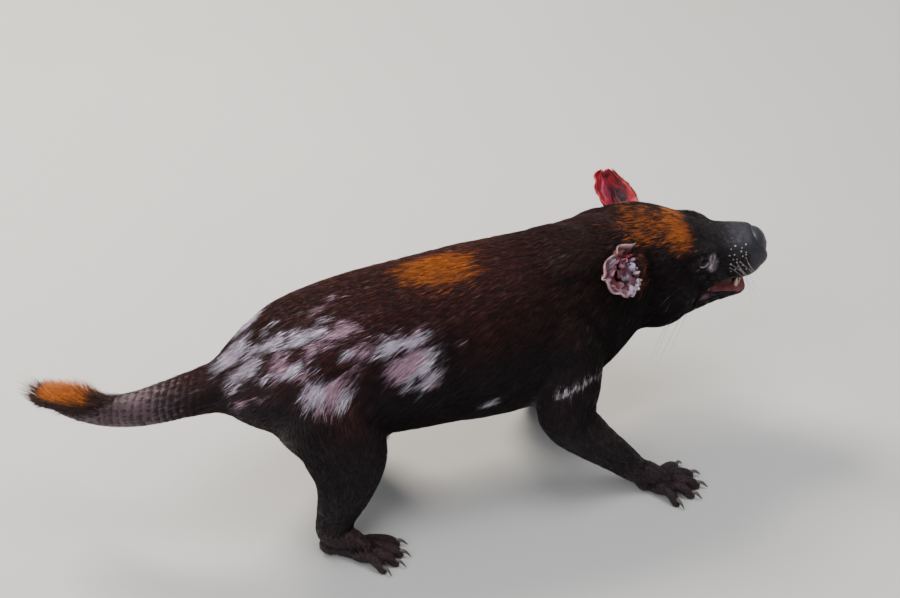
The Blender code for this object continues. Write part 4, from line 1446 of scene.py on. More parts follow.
class Markings:
    """The colours of the coat and the skin, as functions of the place on the body."""

    def __init__(self) -> None:
        """Draws the noise that frays the patches."""
        self.fray = Grain(5)
        self.blotch = Grain(11)

    def _patch_field(self, spots: Spots, patches: tuple[Patch, ...]) -> tuple[Array, Array]:
        """The strongest patch at each place.

        Args:
            spots: The places.
            patches: The patches to look through.

        Returns:
            Its strength, 0.5 at a patch's edge, and its colour.
        """
        best = np.zeros(len(spots.points))
        colour = np.tile(Tone.WHITE.rgb, (len(best), 1))
        for patch in patches:
            away = spots.points - patch.centre
            along = dot(away, spots.lie)
            square = dot(away, away) + along**2 * (patch.stretch**-2 - 1.0)
            value = patch.strength * np.exp(-0.7 * np.maximum(square, 0.0) / patch.radius**2)
            stronger = value > best
            best = np.where(stronger, value, best)
            colour[stronger] = patch.tone.rgb
        return best, colour

    def _streaks(self, spots: Spots, stretch: float = 0.7, size: float = 5.0, octaves: int = 3) -> Array:
        """Noise that is drawn out along the lie, for ragged edges.

        Args:
            spots: The places.
            stretch: How far it is drawn out, up to 1.
            size: Size of the largest lumps.
            octaves: How many finer layers are summed.

        Returns:
            Noise from about -1 to 1.
        """
        along = stretch * dot(spots.points, spots.lie)
        return self.fray.at(spots.points - spots.lie * along[:, None], size, octaves)

    def flame(self, spots: Spots) -> Array:
        """How orange the hair is: painted sunlight, orange in the reddish tips of the hair on the back and
        the crown.

        Args:
            spots: The places.

        Returns:
            0 for none and 1 for the brightest.
        """
        fray = self._streaks(spots)
        streak = self._streaks(spots, 0.86, 9.0, 2)
        forward, left, up = spots.head.T
        aside = np.abs(left)
        # Painted sunlight on the back, streaky along the hair and cut off sharply at its front edge
        back = smoothstep(1.30, 0.20, SUNLIT_BACK.distance(spots.points) + 0.50 * fray + 0.20 * streak)
        sunlight_streaks = 0.60 + 0.40 * smoothstep(-0.35, 0.30, streak)
        back *= SUNLIT_BACK_BEHIND(spots.points[:, 0] + 5.0 * fray) * sunlight_streaks
        # Painted sunlight on the top of the head
        front = CROWN_BEHIND(forward + 4.0 * fray)
        fade = 0.30 + 0.70 * CROWN_BRIGHT(forward + 22.0 * fray + 18.0 * streak)
        lower = 24.0 + 15.0 * smoothstep(-88, -112, forward)
        over = smoothstep(-9, 12, up - lower + 9.0 * fray)
        sides = smoothstep(78, 30, aside + 14.0 * fray)
        crown = front * fade * over * CROWN_BEFORE(forward) * sides
        strip = np.hypot((forward + 138.0) / 12.0, (up - 34.0) / 24.0)
        strip = 0.45 * smoothstep(1.3, 0.3, strip + 0.6 * fray) * smoothstep(34, 44, aside)
        return np.clip(np.maximum(np.maximum(back, crown * (0.80 + 0.9 * streak)), strip), 0.0, 1.0)

    def stripe(self, spots: Spots) -> Array:
        """How near the white stripe over the chest is, with ragged edges.

        Args:
            spots: The places.

        Returns:
            Above 1 on the stripe's middle line and 0 away from it.
        """
        points = spots.points
        band = np.full(len(points), 1e3)
        nodes = smooth_rows(CHEST_BAND, 3)
        outward = unit((points - (0.0, 0.0, TRUNK_AXIS_HEIGHT)) * (0.0, 1.0, 1.0))
        for start, end in zip(nodes, nodes[1:]):
            share = segment_distance(points, start, end)[1]
            away = points - start - share[:, None] * (end - start)
            away -= 0.85 * outward * dot(away, outward)[:, None]
            band = np.minimum(band, np.linalg.norm(away, axis=1))
        stripe = 1.3 * np.exp(-0.7 * (band / 1.9) ** 2)
        return stripe + 0.35 * self._streaks(spots) * smoothstep(0.02, 0.3, stripe)

    def white(self, spots: Spots) -> tuple[Array, Array]:
        """The pale patches of the coat.

        Args:
            spots: The places.

        Returns:
            The paleness, 0.5 at the edge of a patch, and the pale colour.
        """
        value, colour = self._patch_field(spots, PATCHES)
        stripe = self.stripe(spots)
        mottle = self._streaks(spots, 0.55, 7.5, 2)
        dark, _ = self._patch_field(spots, DARK_SPOTS)
        value = value - np.where(dark > 0.3, 0.9 * dark, 0.0)
        fray = 0.50 * self._streaks(spots) + 0.80 * mottle
        tint = smoothstep(-0.25, 0.35, self.blotch.at(spots.points, 12.0, 2))
        colour = mix(colour, 0.5 * (Tone.PINK.rgb + colour), 0.6 * tint)
        colour = mix(1.12 * colour, 1.35 * Tone.WHITE.rgb, smoothstep(0.3, 0.8, stripe))
        value = value + 0.12 + fray * smoothstep(0.02, 0.3, value)
        return np.maximum(value, stripe), colour

    def coat(self, spots: Spots, draw: Array) -> tuple[Array, Array]:
        """The colours of the tufts.

        Args:
            spots: Their roots.
            draw: A random number from 0 to 1 for each.

        Returns:
            The colours at the roots and at the tips.
        """
        points, steep = spots.points, spots.normals[:, 2]
        forward, _, up = spots.head.T
        blotch = self.blotch.at(points, 46.0, 3)
        # Partly painted sheen: the reddish tips grow with how far the skin faces up, over the back's own
        # reddish tips
        above = smoothstep(0.05, 0.95, steep + 0.30 * blotch)
        behind = BEHIND_CHEST(points[:, 0] + 30.0 * blotch)
        thigh = smoothstep(1.2, 0.2, THIGH_FLAME.distance(points))
        rump = RUMP(points[:, 0]) * smoothstep(0.3, -0.4, steep)
        nape = NAPE_BEHIND(forward) * NAPE_BEFORE(forward) * above
        russet = above * (0.10 + 0.80 * behind) + 0.9 * thigh + 0.35 * rump + 0.25 * nape
        russet = np.clip(russet, 0.0, 1.0) * (0.25 + 0.95 * draw)
        tips = mix(Tone.DARK.rgb, Tone.RUSSET.rgb, np.clip(0.75 * russet, 0.0, 1.0))
        tips = tips * (0.7 + 0.75 * draw)[:, None]
        roots = np.tile(0.5 * Tone.DARK.rgb, (len(points), 1))
        muzzle = HAIRY_MUZZLE(forward)
        # Painted sky reflection: the short hair on the top of the snout's front turns grey-blue
        sheen = smoothstep(4, 20, up) * SNOUT_FRONT(forward)
        muzzle_and_sheen = mix(Tone.MUZZLE.rgb, Tone.SNOUT_TOP.rgb, sheen)
        tips = mix(tips, muzzle_and_sheen, muzzle)
        roots = mix(roots, 0.8 * muzzle_and_sheen, muzzle)
        # Painted sunlight: orange over the hair's tips on the back and the crown
        sunlit = smoothstep(0.10, 1.0, self.flame(spots) * (0.55 + 0.9 * draw))
        sunlit_colour = mix(Tone.RUSSET.rgb * 1.3, Tone.ORANGE.rgb, smoothstep(0.2, 0.8, sunlit))
        tips = mix(tips, sunlit_colour * (0.6 + 0.5 * draw)[:, None], smoothstep(0.02, 0.45, sunlit))
        roots = mix(roots, 0.18 * sunlit_colour, smoothstep(0.2, 0.8, sunlit))
        value, pale = self.white(spots)
        share = smoothstep(0.30, 0.80, value + 0.55 * (draw - 0.5))
        tips = mix(tips, np.minimum(pale * (0.80 + 0.42 * draw)[:, None], 0.98), share)
        roots = mix(roots, 0.55 * pale, share)
        return roots, mix(tips, Tone.TAIL_HAIR.rgb, 0.8 * TAIL_HAIR_ZONE(points[:, 0]))

    def hide(self, spots: Spots) -> Array:
        """The colours of the skin under the coat and where it is bare.

        Args:
            spots: The skin's vertices.

        Returns:
            Rows of red, green, blue and the depth of the wrinkles.
        """
        points, head = spots.points, spots.head
        roots, tips = self.coat(spots, np.full(len(points), 0.45))
        colour = 0.5 * roots + 0.35 * tips
        blotch = self.blotch.at(points, 14.0, 3)
        muzzle = BARE_MUZZLE(head[:, 0] + 4 * blotch)
        # Painted sky reflection: the bare skin on the top of the snout's front turns grey-blue
        sheen = smoothstep(0, 18, head[:, 2]) * SNOUT_FRONT(head[:, 0])
        snout = mix(Tone.MUZZLE.rgb * 1.1, Tone.BARE_SNOUT.rgb, sheen * (0.8 + 0.5 * blotch))
        snout = mix(snout, Tone.NOSE_EDGE.rgb, NOSE_RIM(head[:, 0]))
        colour = mix(colour, snout, muzzle)
        for eye in EYES:
            along, up, out = eye.local(head).T
            bare = smoothstep(1.05, 0.60, eye.tear(along, up) + 0.30 * blotch)
            # The pale bare skin is strongest on the crests of the wrinkles that the eye's press raises and
            # weakest in their troughs: the skin's own pink, with painted light on the crests and painted
            # shade between them
            streaks = smoothstep(-0.5, 0.6, eye.wrinkles(along, up) + 1.2 * blotch)
            bare = 0.72 * bare * (0.22 + 0.78 * streaks)
            under = 0.35 * smoothstep(1.2, 0.4, np.hypot(along / 11.0, (up + 7.5) / 3.0))
            colour = mix(colour, Tone.BARE.rgb, np.maximum(bare, under) * (out > -6.0))
        # Painted shade: the skin at the foot of each ear's cup, deep in its opening, turns near black
        for ear in EARS:
            colour = mix(colour, np.array(PAINTED_CANAL_SHADE) * 2.0, ear.cup(head))
        tail = BARE_TAIL(points[:, 0])
        colour = mix(colour, Tone.TAIL.rgb * (1.0 + 0.35 * blotch)[:, None], tail)
        foot = BARE_FOOT(points[:, 2])
        colour = mix(colour, Tone.FOOT.rgb * (1.0 + 0.5 * blotch)[:, None], foot)
        colour = mix(colour, Tone.LIP.rgb, lip_share(head))
        colour = mix(colour, Tone.MOUTH.rgb, mouth_share(head, HeadFrame.turn_in(spots.normals)))
        wrinkle = np.maximum(np.maximum(foot, 0.55 * tail), 0.12 + 0.10 * muzzle)
        return np.hstack([colour, wrinkle[:, None]])


def lip_share(head: Array) -> Array:
    """How much of the lower lip's bare rim shows.

    Args:
        head: Places in the head's frame.

    Returns:
        Up to 0.9 on the rim and 0 away from it.
    """
    slope = np.clip((-head[:, 0] - 20.0) / 50.0, 0.0, 1.0)
    rim = LOWER_LIP + 4.0 * slope
    lower = np.exp(-(((head[:, 2] - rim - 0.8) / 2.4) ** 2))
    return LIP_BEFORE(head[:, 0]) * lower * LIP_BEHIND(head[:, 0]) * 0.9


def mouth_share(head: Array, normals: Array) -> Array:
    """How much of a place is inside the open mouth.

    Args:
        head: Places in the head's frame.
        normals: Outward directions in the head's frame.

    Returns:
        1 inside the mouth and 0 outside.
    """
    front, back = head[:, 0] < -7.0, head[:, 0] > -76.0
    roof = (head[:, 2] < -20.5) & (head[:, 2] > -48.0) & (normals[:, 2] < -0.45)
    floor = (head[:, 0] < -20.0) & (head[:, 2] > -66.0) & (head[:, 2] < -40.0) & (normals[:, 2] > 0.45)
    inside = np.abs(head[:, 1]) < 15.0 - 0.1 * head[:, 0]
    return (front & back & inside & (roof | floor)).astype(float)


# --- Eyes ---
@dataclass(frozen=True)
class Eye:
    """An eye with its lids."""

    side: Side
    place: Triple = (-0.405 * HL, 33.4, 12.0)  # its middle in the head's frame: forward, out and up
    half_long: float = 6.6  # half of the opening's length
    half_tall: float = 5.0  # half of the opening's height
    margin: float = 0.8  # radius of the lids' edge

    LID_STEPS, LID_SIDES = 64, 10  # points along the lids' edge and round it

    @property
    def axes(self) -> Array:
        """Rows along the opening, up the face and out of the eye, in the head's frame."""
        lean = rotation("Z", -28 * self.side.value) @ rotation("X", 14 * self.side.value)
        return np.array((lean[:, 0], lean[:, 2], self.side.value * lean[:, 1]))

    @property
    def centre(self) -> Array:
        """The ball's middle in the head's frame."""
        forward, out, up = self.place
        return np.array((forward, out * self.side.value, up))

    def local(self, head: Array) -> Array:
        """Places in the head's frame turned into the eye's: along, up and out."""
        return (head - self.centre) @ self.axes.T

    def outward(self, local: Array) -> Array:
        """Places in the eye's frame turned into the animal's."""
        return HeadFrame.out(local @ self.axes + self.centre)

    def opening(self, along: Array) -> Array:
        """Half-height of the opening at places along it."""
        return self.half_tall * np.clip(1.0 - (along / self.half_long) ** 2, 0.0, 1.0) ** 0.72

    def tear(self, along: Array, up: Array) -> Array:
        """Distance from the middle of the bare skin before the eye; 1 at its edge."""
        return np.hypot((along - 12.0) / 8.0, (up + 7.0) / 13.0)

    def wrinkles(self, along: Array, up: Array) -> Array:
        """The height of the bare skin's upright wrinkles, from -1 to 1."""
        noise = Grain(61).over(along + 0.022 * up**2 - 0.15 * up, 0.34 * up, 2.1, 2)
        return np.clip(2.4 * noise, -1.0, 1.0)

    def press(self, points: Array) -> Array:
        """Opens the skin over the ball and wraps the rest of it round the ball.

        Args:
            points: The skin's vertices in the animal's frame.

        Returns:
            The moved vertices.
        """
        local = self.local(HeadFrame.into(points))
        along, up, out = local.T
        near = (np.hypot(along, up) < 30.0) & (out > -2.0)
        inside = near & (np.abs(along) < self.half_long) & (np.abs(up) < self.opening(along))
        shell = EYE_RADIUS + 0.9
        cover = np.sqrt(np.maximum(shell**2 - along**2 - up**2, 0.0))
        over = near & ~inside & (np.hypot(along, up) < shell)
        out = np.where(over, np.maximum(out, cover), out)
        out = np.where(inside, np.minimum(out, 3.0), out)
        reach = np.hypot(along / self.half_long, up / (1.25 * self.half_tall))
        fold = 0.45 * np.sin(6.0 * (reach - 1.0)) * np.exp(-((reach - 1.9) / 0.75) ** 2)
        folds = 0.36 * self.wrinkles(along, up) * smoothstep(1.1, 0.6, self.tear(along, up))
        out = np.where(near & ~inside, out - fold + folds, out)
        moved = self.outward(np.stack([along, up, out], axis=1))
        return np.where(near[:, None], moved, points)

    def ball(self) -> Surface:
        """The eyeball, with a slightly domed front.

        Returns:
            Its surface.
        """
        clay = Clay()
        clay.ball((0, 0, 0), (EYE_RADIUS,) * 3, fineness=48)
        local = clay.points[0].copy()
        dome = np.exp(-(np.hypot(local[:, 0], local[:, 1]) / 4.6) ** 2) * (local[:, 2] > 0)
        local[:, 2] += 0.7 * dome
        return Surface(self.outward(local), clay.triangles())

    def lids(self) -> Surface:
        """The edges of the upper and lower lid, resting on the ball.

        Returns:
            Their surface, one closed ring.
        """
        count, sides = self.LID_STEPS, self.LID_SIDES
        turns = np.linspace(0.0, 2 * math.pi, count + 1)[:-1]
        along = self.half_long * np.cos(turns)
        up = np.sign(np.sin(turns)) * self.opening(along)
        out = np.sqrt(np.maximum((EYE_RADIUS + 0.5) ** 2 - along**2 - up**2, 4.0))
        middle = np.stack([along, up, out], axis=1)
        ahead = unit(np.roll(middle, -1, axis=0) - np.roll(middle, 1, axis=0))
        across = unit(np.cross(ahead, unit(middle)))
        over = np.cross(across, ahead)
        angle = round_turns(sides)
        thick = self.margin * np.where(np.sin(turns) > 0, 1.25, 0.95)[:, None, None]
        ring = across[:, None] * np.cos(angle)[None, :, None] + over[:, None] * np.sin(angle)[None, :, None]
        points = (middle[:, None] + ring * thick).reshape(-1, 3)
        i, k = np.meshgrid(np.arange(count), np.arange(sides), indexing="ij")
        one, two, after = i * sides, (i + 1) % count * sides, (k + 1) % sides
        faces = np.stack([one + k, two + k, two + after, one + after], axis=-1)
        return Surface(self.outward(points), faces.reshape(-1, 4))

    def lid_colours(self, surface: Surface) -> Array:
        """Dark upper lids and paler lower ones."""
        up = self.local(HeadFrame.into(surface.points))[:, 1]
        return mix(Tone.UPPER_LID.rgb, Tone.LOWER_LID.rgb, smoothstep(-1.2, -3.8, up))

    def build(self) -> None:
        """Makes the ball and the lids."""
        name = self.side.word
        finished(f"eyeball_{name}", self.ball(), EyeFinish().make(), None, (f"eye_{name}",))
        rim = self.lids()
        hide = HideFinish("lid_skin", wrinkle=0.06, cell=3200.0, gloss=0.25).make()
        finished(f"eyelids_{name}", rim, hide, self.lid_colours(rim))


EYES = (Eye(Side.RIGHT), Eye(Side.LEFT))


# --- Skin ---
@dataclass
class Skin:
    """The animal's one skin."""

    lie: Lie  # the hair's lie, which also says how deep the coat is
    core_grid: float = 1.8  # voxels of the first melt, which blends the big forms
    foot_grid: float = 1.0  # voxels of the feet
    grid: float = 1.3  # voxels of the last melt
    budget: int = 190_000  # triangles of the finished skin
    surface: Surface | None = field(default=None, init=False)

    def body_forms(self, clay: Clay) -> None:
        """Heaps up the trunk, neck, upper legs and tail.

        Args:
            clay: The heap that they go on.
        """
        clay.loft(TRUNK)
        clay.loft(TAIL, 32)
        clay.ball((92, 0, 246), (62, 52, 34))
        clay.ball((116, 8, 150), (44, 48, 46))
        clay.ball((6, 0, 140), (104, 62, 58))
        for limb in LIMBS:
            clay.loft(limb.rings, crown=(1, 0, 0))
            side = limb.side.value
            if limb.is_hind:
                clay.ball((-168, 44 * side, 164), (60, 46, 66))
            else:
                clay.ball((78, 46 * side, 184), (48, 42, 56))

    def head_forms(self, clay: Clay) -> None:
        """Heaps up the head and the lower jaw.

        Args:
            clay: The heap that they go on.
        """
        clay.loft(HEAD, in_head=True)
        clay.loft(JAW, in_head=True)
        clay.ball((-9, 0, 1), (9, 13.5, 11), in_head=True)
        for side in (-1, 1):
            clay.ball((-31, 17 * side, -14), (24, 15, 18), in_head=True)
            clay.ball((-76, 27 * side, 19), (22, 12, 9), (0, 10, -14 * side), True)
            clay.ball((-122, 44 * side, -20), (44, 28, 42), (0, 0, -12 * side), True)
            clay.ball((-92, 38 * side, -8), (34, 15, 15), (0, 0, -28 * side), True)
        for ear in EARS:
            clay.ball(ear.base(), (18, 14, 14), in_head=True)

    def foot(self, limb: Limb) -> Surface:
        """One melted foot, with its pads and toes.

        Args:
            limb: Its leg.

        Returns:
            Its surface.
        """
        clay = Clay()
        ankle, foot = np.array(limb.rings[-1].centre), np.array(limb.foot)
        knuckles = 0.45 * ankle + 0.55 * (foot + (0, 0, 12))
        stem = (limb.rings[-2], limb.rings[-1], Ring(tuple(knuckles), 17, 12, 13),
                Ring((foot[0], foot[1], 10), 15, 7, 9))
        clay.loft(stem, 32, crown=(1, 0, 0))
        clay.ball(tuple(limb.place((-4, 0, 8))), (20, 19, 9.5), (0, 0, limb.heading))
        if limb.is_hind:
            heel = np.array((ankle[0], ankle[1], 9.0))
            clay.ball(tuple(heel), (15, 14, 10))
            clay.ball(tuple(0.5 * (heel + foot + (0, 0, 9))), (26, 15, 9.5), (0, 0, limb.heading))
        else:
            clay.ball(tuple(limb.place((-22, 0, 8))), (12, 13, 9), (0, 0, limb.heading))
        for toe in limb.toes:
            reach, r = toe.length, toe.radius
            knuckle, bend = (0.40 * reach, 0, 11.5), (0.72 * reach, 0, 7.5)
            spine = ((-10, 0, 13), (0, 0, 12), knuckle, bend, (reach, 0, 5.0))
            clay.tube(limb.toe_place(toe, spine), (r, 1.05 * r, r, 0.95 * r, 0.62 * r), 20)
            turn = (0, 0, limb.heading + toe.heading)
            clay.ball(tuple(limb.toe_place(toe, (0.84 * reach, 0, 3.2))), (6.2, 4.8, 4.6), turn)
        return clay.melt(self.foot_grid, 5)

    def eyelid_forms(self, clay: Clay) -> None:
        """Heaps up a soft swelling round each eye.

        Args:
            clay: The heap that they go on.
        """
        for eye in EYES:
            for turn in np.linspace(0.0, 2 * math.pi, 19)[:-1]:
                along, up = 8.6 * math.cos(turn), 6.0 * math.sin(turn)
                middle = HeadFrame.into(eye.outward(np.array((along, up, 3.6))))
                clay.ball(tuple(middle), (2.7, 2.7, 2.7), in_head=True, fineness=12)

    def melt(self) -> Surface:
        """Melts all forms into one skin at the coat's surface.

        Returns:
            The skin.
        """
        clay = Clay()
        self.body_forms(clay)
        self.head_forms(clay)
        core = clay.melt(self.core_grid, 10)
        mouth = Clay()
        mouth.tube(PALATE, (14, 17, 15, 8), in_head=True)
        mouth.tube(MOUTH_FLOOR, (9, 14, 11, 6), in_head=True)
        core = hollowed(core, mouth)
        whole = Clay()
        whole.include(core)
        for limb in LIMBS:
            whole.include(self.foot(limb))
        self.eyelid_forms(whole)
        return whole.melt(self.grid, 4)

    def sink(self, surface: Surface) -> Surface:
        """Moves the skin in by the coat's depth.

        Args:
            surface: The skin.

        Returns:
            The moved skin.
        """
        normals = surface.normals()
        _, hair, _ = self.lie.read(surface.points, normals)
        head = HeadFrame.into(surface.points)
        inside = mouth_share(head, HeadFrame.turn_in(normals))
        depth = hair[:, 1] * (1.0 - inside)
        surface.points -= normals * depth[:, None]
        return surface

    def crease(self, surface: Surface) -> Surface:
        """Adds the tail's ring folds, the snout's wrinkles and soft unevenness.

        Args:
            surface: The skin.

        Returns:
            The moved skin.
        """
        points = surface.points
        normals = surface.normals()
        grain = Grain(3)
        along = -points[:, 0] + 0.5 * points[:, 1]
        tail = RINGED_TAIL(points[:, 0])
        wobble = 1.6 * grain.at(points, 24.0, 2)
        rings = tail * 0.32 * np.sin(2 * math.pi * (along + 3.0 * wobble) / TAIL_RING_STEP)
        body = (1.0 - tail) * BODY_ABOVE(points[:, 2]) * BODY_BEHIND(points[:, 0])
        lumps = 0.9 * body * grain.at(points, 38.0, 2)
        head = HeadFrame.into(points)
        snout = SNOUT_BEFORE(head[:, 0]) * SNOUT_BEHIND(head[:, 0])
        wrinkles = snout * 0.30 * grain.at(head * (1.6, 1.0, 0.5), 5.0, 2)
        surface.points = points + normals * (rings + lumps + wrinkles)[:, None]
        return surface

    def thin(self, surface: Surface) -> Surface:
        """Collapses the skin to its budget, sparing the face and the feet.

        Args:
            surface: The skin.

        Returns:
            The thinned skin.
        """
        obj = linked("skin_step", surface.to_mesh("skin_step"))
        head = HeadFrame.into(surface.points)
        fine = np.maximum(FINE_FACE(head[:, 0]), FINE_FOOT(surface.points[:, 2]))
        group = obj.vertex_groups.new(name="coarse")
        for level in range(5):
            chosen = np.nonzero(np.round(fine * 4) == level)[0]
            group.add(chosen.tolist(), 1.0 - 0.2 * level, "REPLACE")
        collapse = obj.modifiers.new("thin", "DECIMATE")
        collapse.ratio = self.budget / (2 * len(surface.faces))
        collapse.vertex_group = "coarse"
        collapse.use_collapse_triangulate = True
        return evaluated(obj)

    def build(self, markings: Markings) -> None:
        """Makes the skin, which replaces every node of flesh.

        Args:
            markings: Its colours.
        """
        surface = self.crease(self.sink(self.melt()))
        for eye in EYES:
            surface.points = eye.press(surface.points)
        surface.points[:, 2] = np.maximum(surface.points[:, 2], 0.0)
        LOG.info("skin before thinning: %d faces", len(surface.faces))
        self.surface = surface = self.thin(surface)
        normals = surface.normals()
        along, _, _ = self.lie.read(surface.points, normals)
        flesh = tuple(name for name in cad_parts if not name.startswith(("ear", "eye", "tongue")))
        colours = markings.hide(Spots(surface.points, normals, along))
        finished("skin", surface, HideFinish().make(), colours, flesh)


# --- Coat ---
@dataclass(frozen=True)
class TuftShape:
    """The form of a tuft: the places and widths of its three-sided rings, as shares."""

    rings: tuple[tuple[float, float], ...]

    @property
    def corners(self) -> int:
        """Vertices of one tuft."""
        return 3 * len(self.rings) + 1

    def faces(self) -> Array:
        """The triangles of one tuft, which is closed.

        Returns:
            Rows of three vertex numbers.
        """
        rows = [(2, 1, 0)]
        for ring in range(len(self.rings) - 1):
            one, two = 3 * ring, 3 * ring + 3
            for k in range(3):
                after = (k + 1) % 3
                rows.append((one + k, one + after, two + after))
                rows.append((one + k, two + after, two + k))
        last = 3 * len(self.rings) - 3
        rows += [(last + k, last + (k + 1) % 3, last + 3) for k in range(3)]
        return np.array(rows)


LONG_TUFT = TuftShape(((0.0, 0.70), (0.48, 1.0)))
SHORT_TUFT = TuftShape(((0.0, 1.0),))
BRUSH_TUFT = TuftShape(((0.0, 0.8), (0.35, 1.0), (0.7, 0.7)))


@dataclass
class Tufts:
    """Many tufts as parallel arrays."""

    root: Array  # places on the skin
    normal: Array  # outward directions
    lie: Array  # directions along the skin
    length: Array
    width: Array
    lift: Array  # angles off the skin, in radians
    bend: Array  # how far the tips bend back to the skin, as shares of the length
    gather: Array  # how far each tip is drawn aside, towards the middle of its clump
    root_colour: Array
    tip_colour: Array
    chart: Array  # places on the unwrap of the skin

    PATCH = 0.003  # size of a tuft's patch on the chart
    SUNK = 0.6  # how deep the roots sit in the skin
    THICK = 0.7  # a tuft's thickness over half of its width

    def pick(self, chosen: Array) -> "Tufts":
        """Some of the tufts."""
        return Tufts(*(getattr(self, name)[chosen] for name in self.__dataclass_fields__))

    def middle(self, t: float) -> Array:
        """The middle lines' places at a share of the length.

        Args:
            t: The share, 0 at the root and 1 at the tip.

        Returns:
            One place for each tuft.
        """
        rise = self.length * (np.sin(self.lift) * t - self.bend * t * t) - self.SUNK * (1.0 - t)
        run = self.length * np.cos(self.lift) * t
        return (self.root + self.lie * run[:, None] + self.normal * rise[:, None]
                + self.gather * t**1.5)

    def build(self, name: str, shape: TuftShape, material: bpy.types.Material, slot: str) -> None:
        """Makes one joined piece of the tufts.

        Args:
            name: The piece's name.
            shape: The form of each tuft.
            material: Its material.
            slot: Not used.
        """
        count = len(self.root)
        side = np.cross(self.normal, self.lie)
        points = np.empty((count, shape.corners, 3))
        colours = np.empty((count, shape.corners, 3))
        chart = np.empty((count, shape.corners, 2))
        half = 0.5 * self.width[:, None]
        for ring, (t, share) in enumerate(shape.rings):
            middle = self.middle(t)
            points[:, 3 * ring] = middle + side * half * share
            points[:, 3 * ring + 1] = middle + self.normal * half * self.THICK * share
            points[:, 3 * ring + 2] = middle - side * half * share
            colours[:, 3 * ring : 3 * ring + 3] = mix(self.root_colour, self.tip_colour,
                                                      np.full(count, t**0.6))[:, None]
            for k, across in enumerate((0.5, 0.0, -0.5)):
                chart[:, 3 * ring + k] = self.chart + self.PATCH * np.array((across, t - 0.5))
        points[:, -1] = self.middle(1.0)
        colours[:, -1] = self.tip_colour
        chart[:, -1] = self.chart + self.PATCH * np.array((0.0, 0.5))
        steps = np.arange(count)[:, None, None] * shape.corners
        faces = (shape.faces()[None] + steps).reshape(-1, 3)
        surface = Surface(points.reshape(-1, 3), faces)
        piece = finished(name, surface, material, colours.reshape(-1, 3))
        layer = piece.data.uv_layers.new(name=CHART_LAYER)
        uv = chart.reshape(-1, 2)[faces.ravel()].astype(np.float32)
        layer.data.foreach_set("uv", uv.ravel())


def nearest(targets: Array, points: Array) -> Array:
    """Finds the nearest target of each point.

    Args:
        targets: Rows of places to choose from.
        points: Rows of places.

    Returns:
        A target's number for each point.
    """
    tree = KDTree(len(targets))
    for i, target in enumerate(targets):
        tree.insert(target, i)
    tree.balance()
    return np.array([tree.find(point)[1] for point in points])


def clumped(points: Array, size: int, draw: np.random.Generator) -> tuple[Array, Array]:
    """Gathers roots into clumps.

    Args:
        points: The roots.
        size: Roots in one clump.
        draw: The random draws.

    Returns:
        The way from each root to its clump's middle, and a random number that the clump shares.
    """
    count = max(1, len(points) // size)
    middles = points[draw.choice(len(points), count, replace=False)]
    own = nearest(middles, points)
    way = middles[own] - points
    way[np.linalg.norm(way, axis=1) > CLUMP_REACH] = 0.0
    return way, draw.random(count)[own]


def inset(chart: Array) -> Array:
    """A chart from 0 to 1 drawn in from its edges."""
    return 0.01 + 0.98 * chart


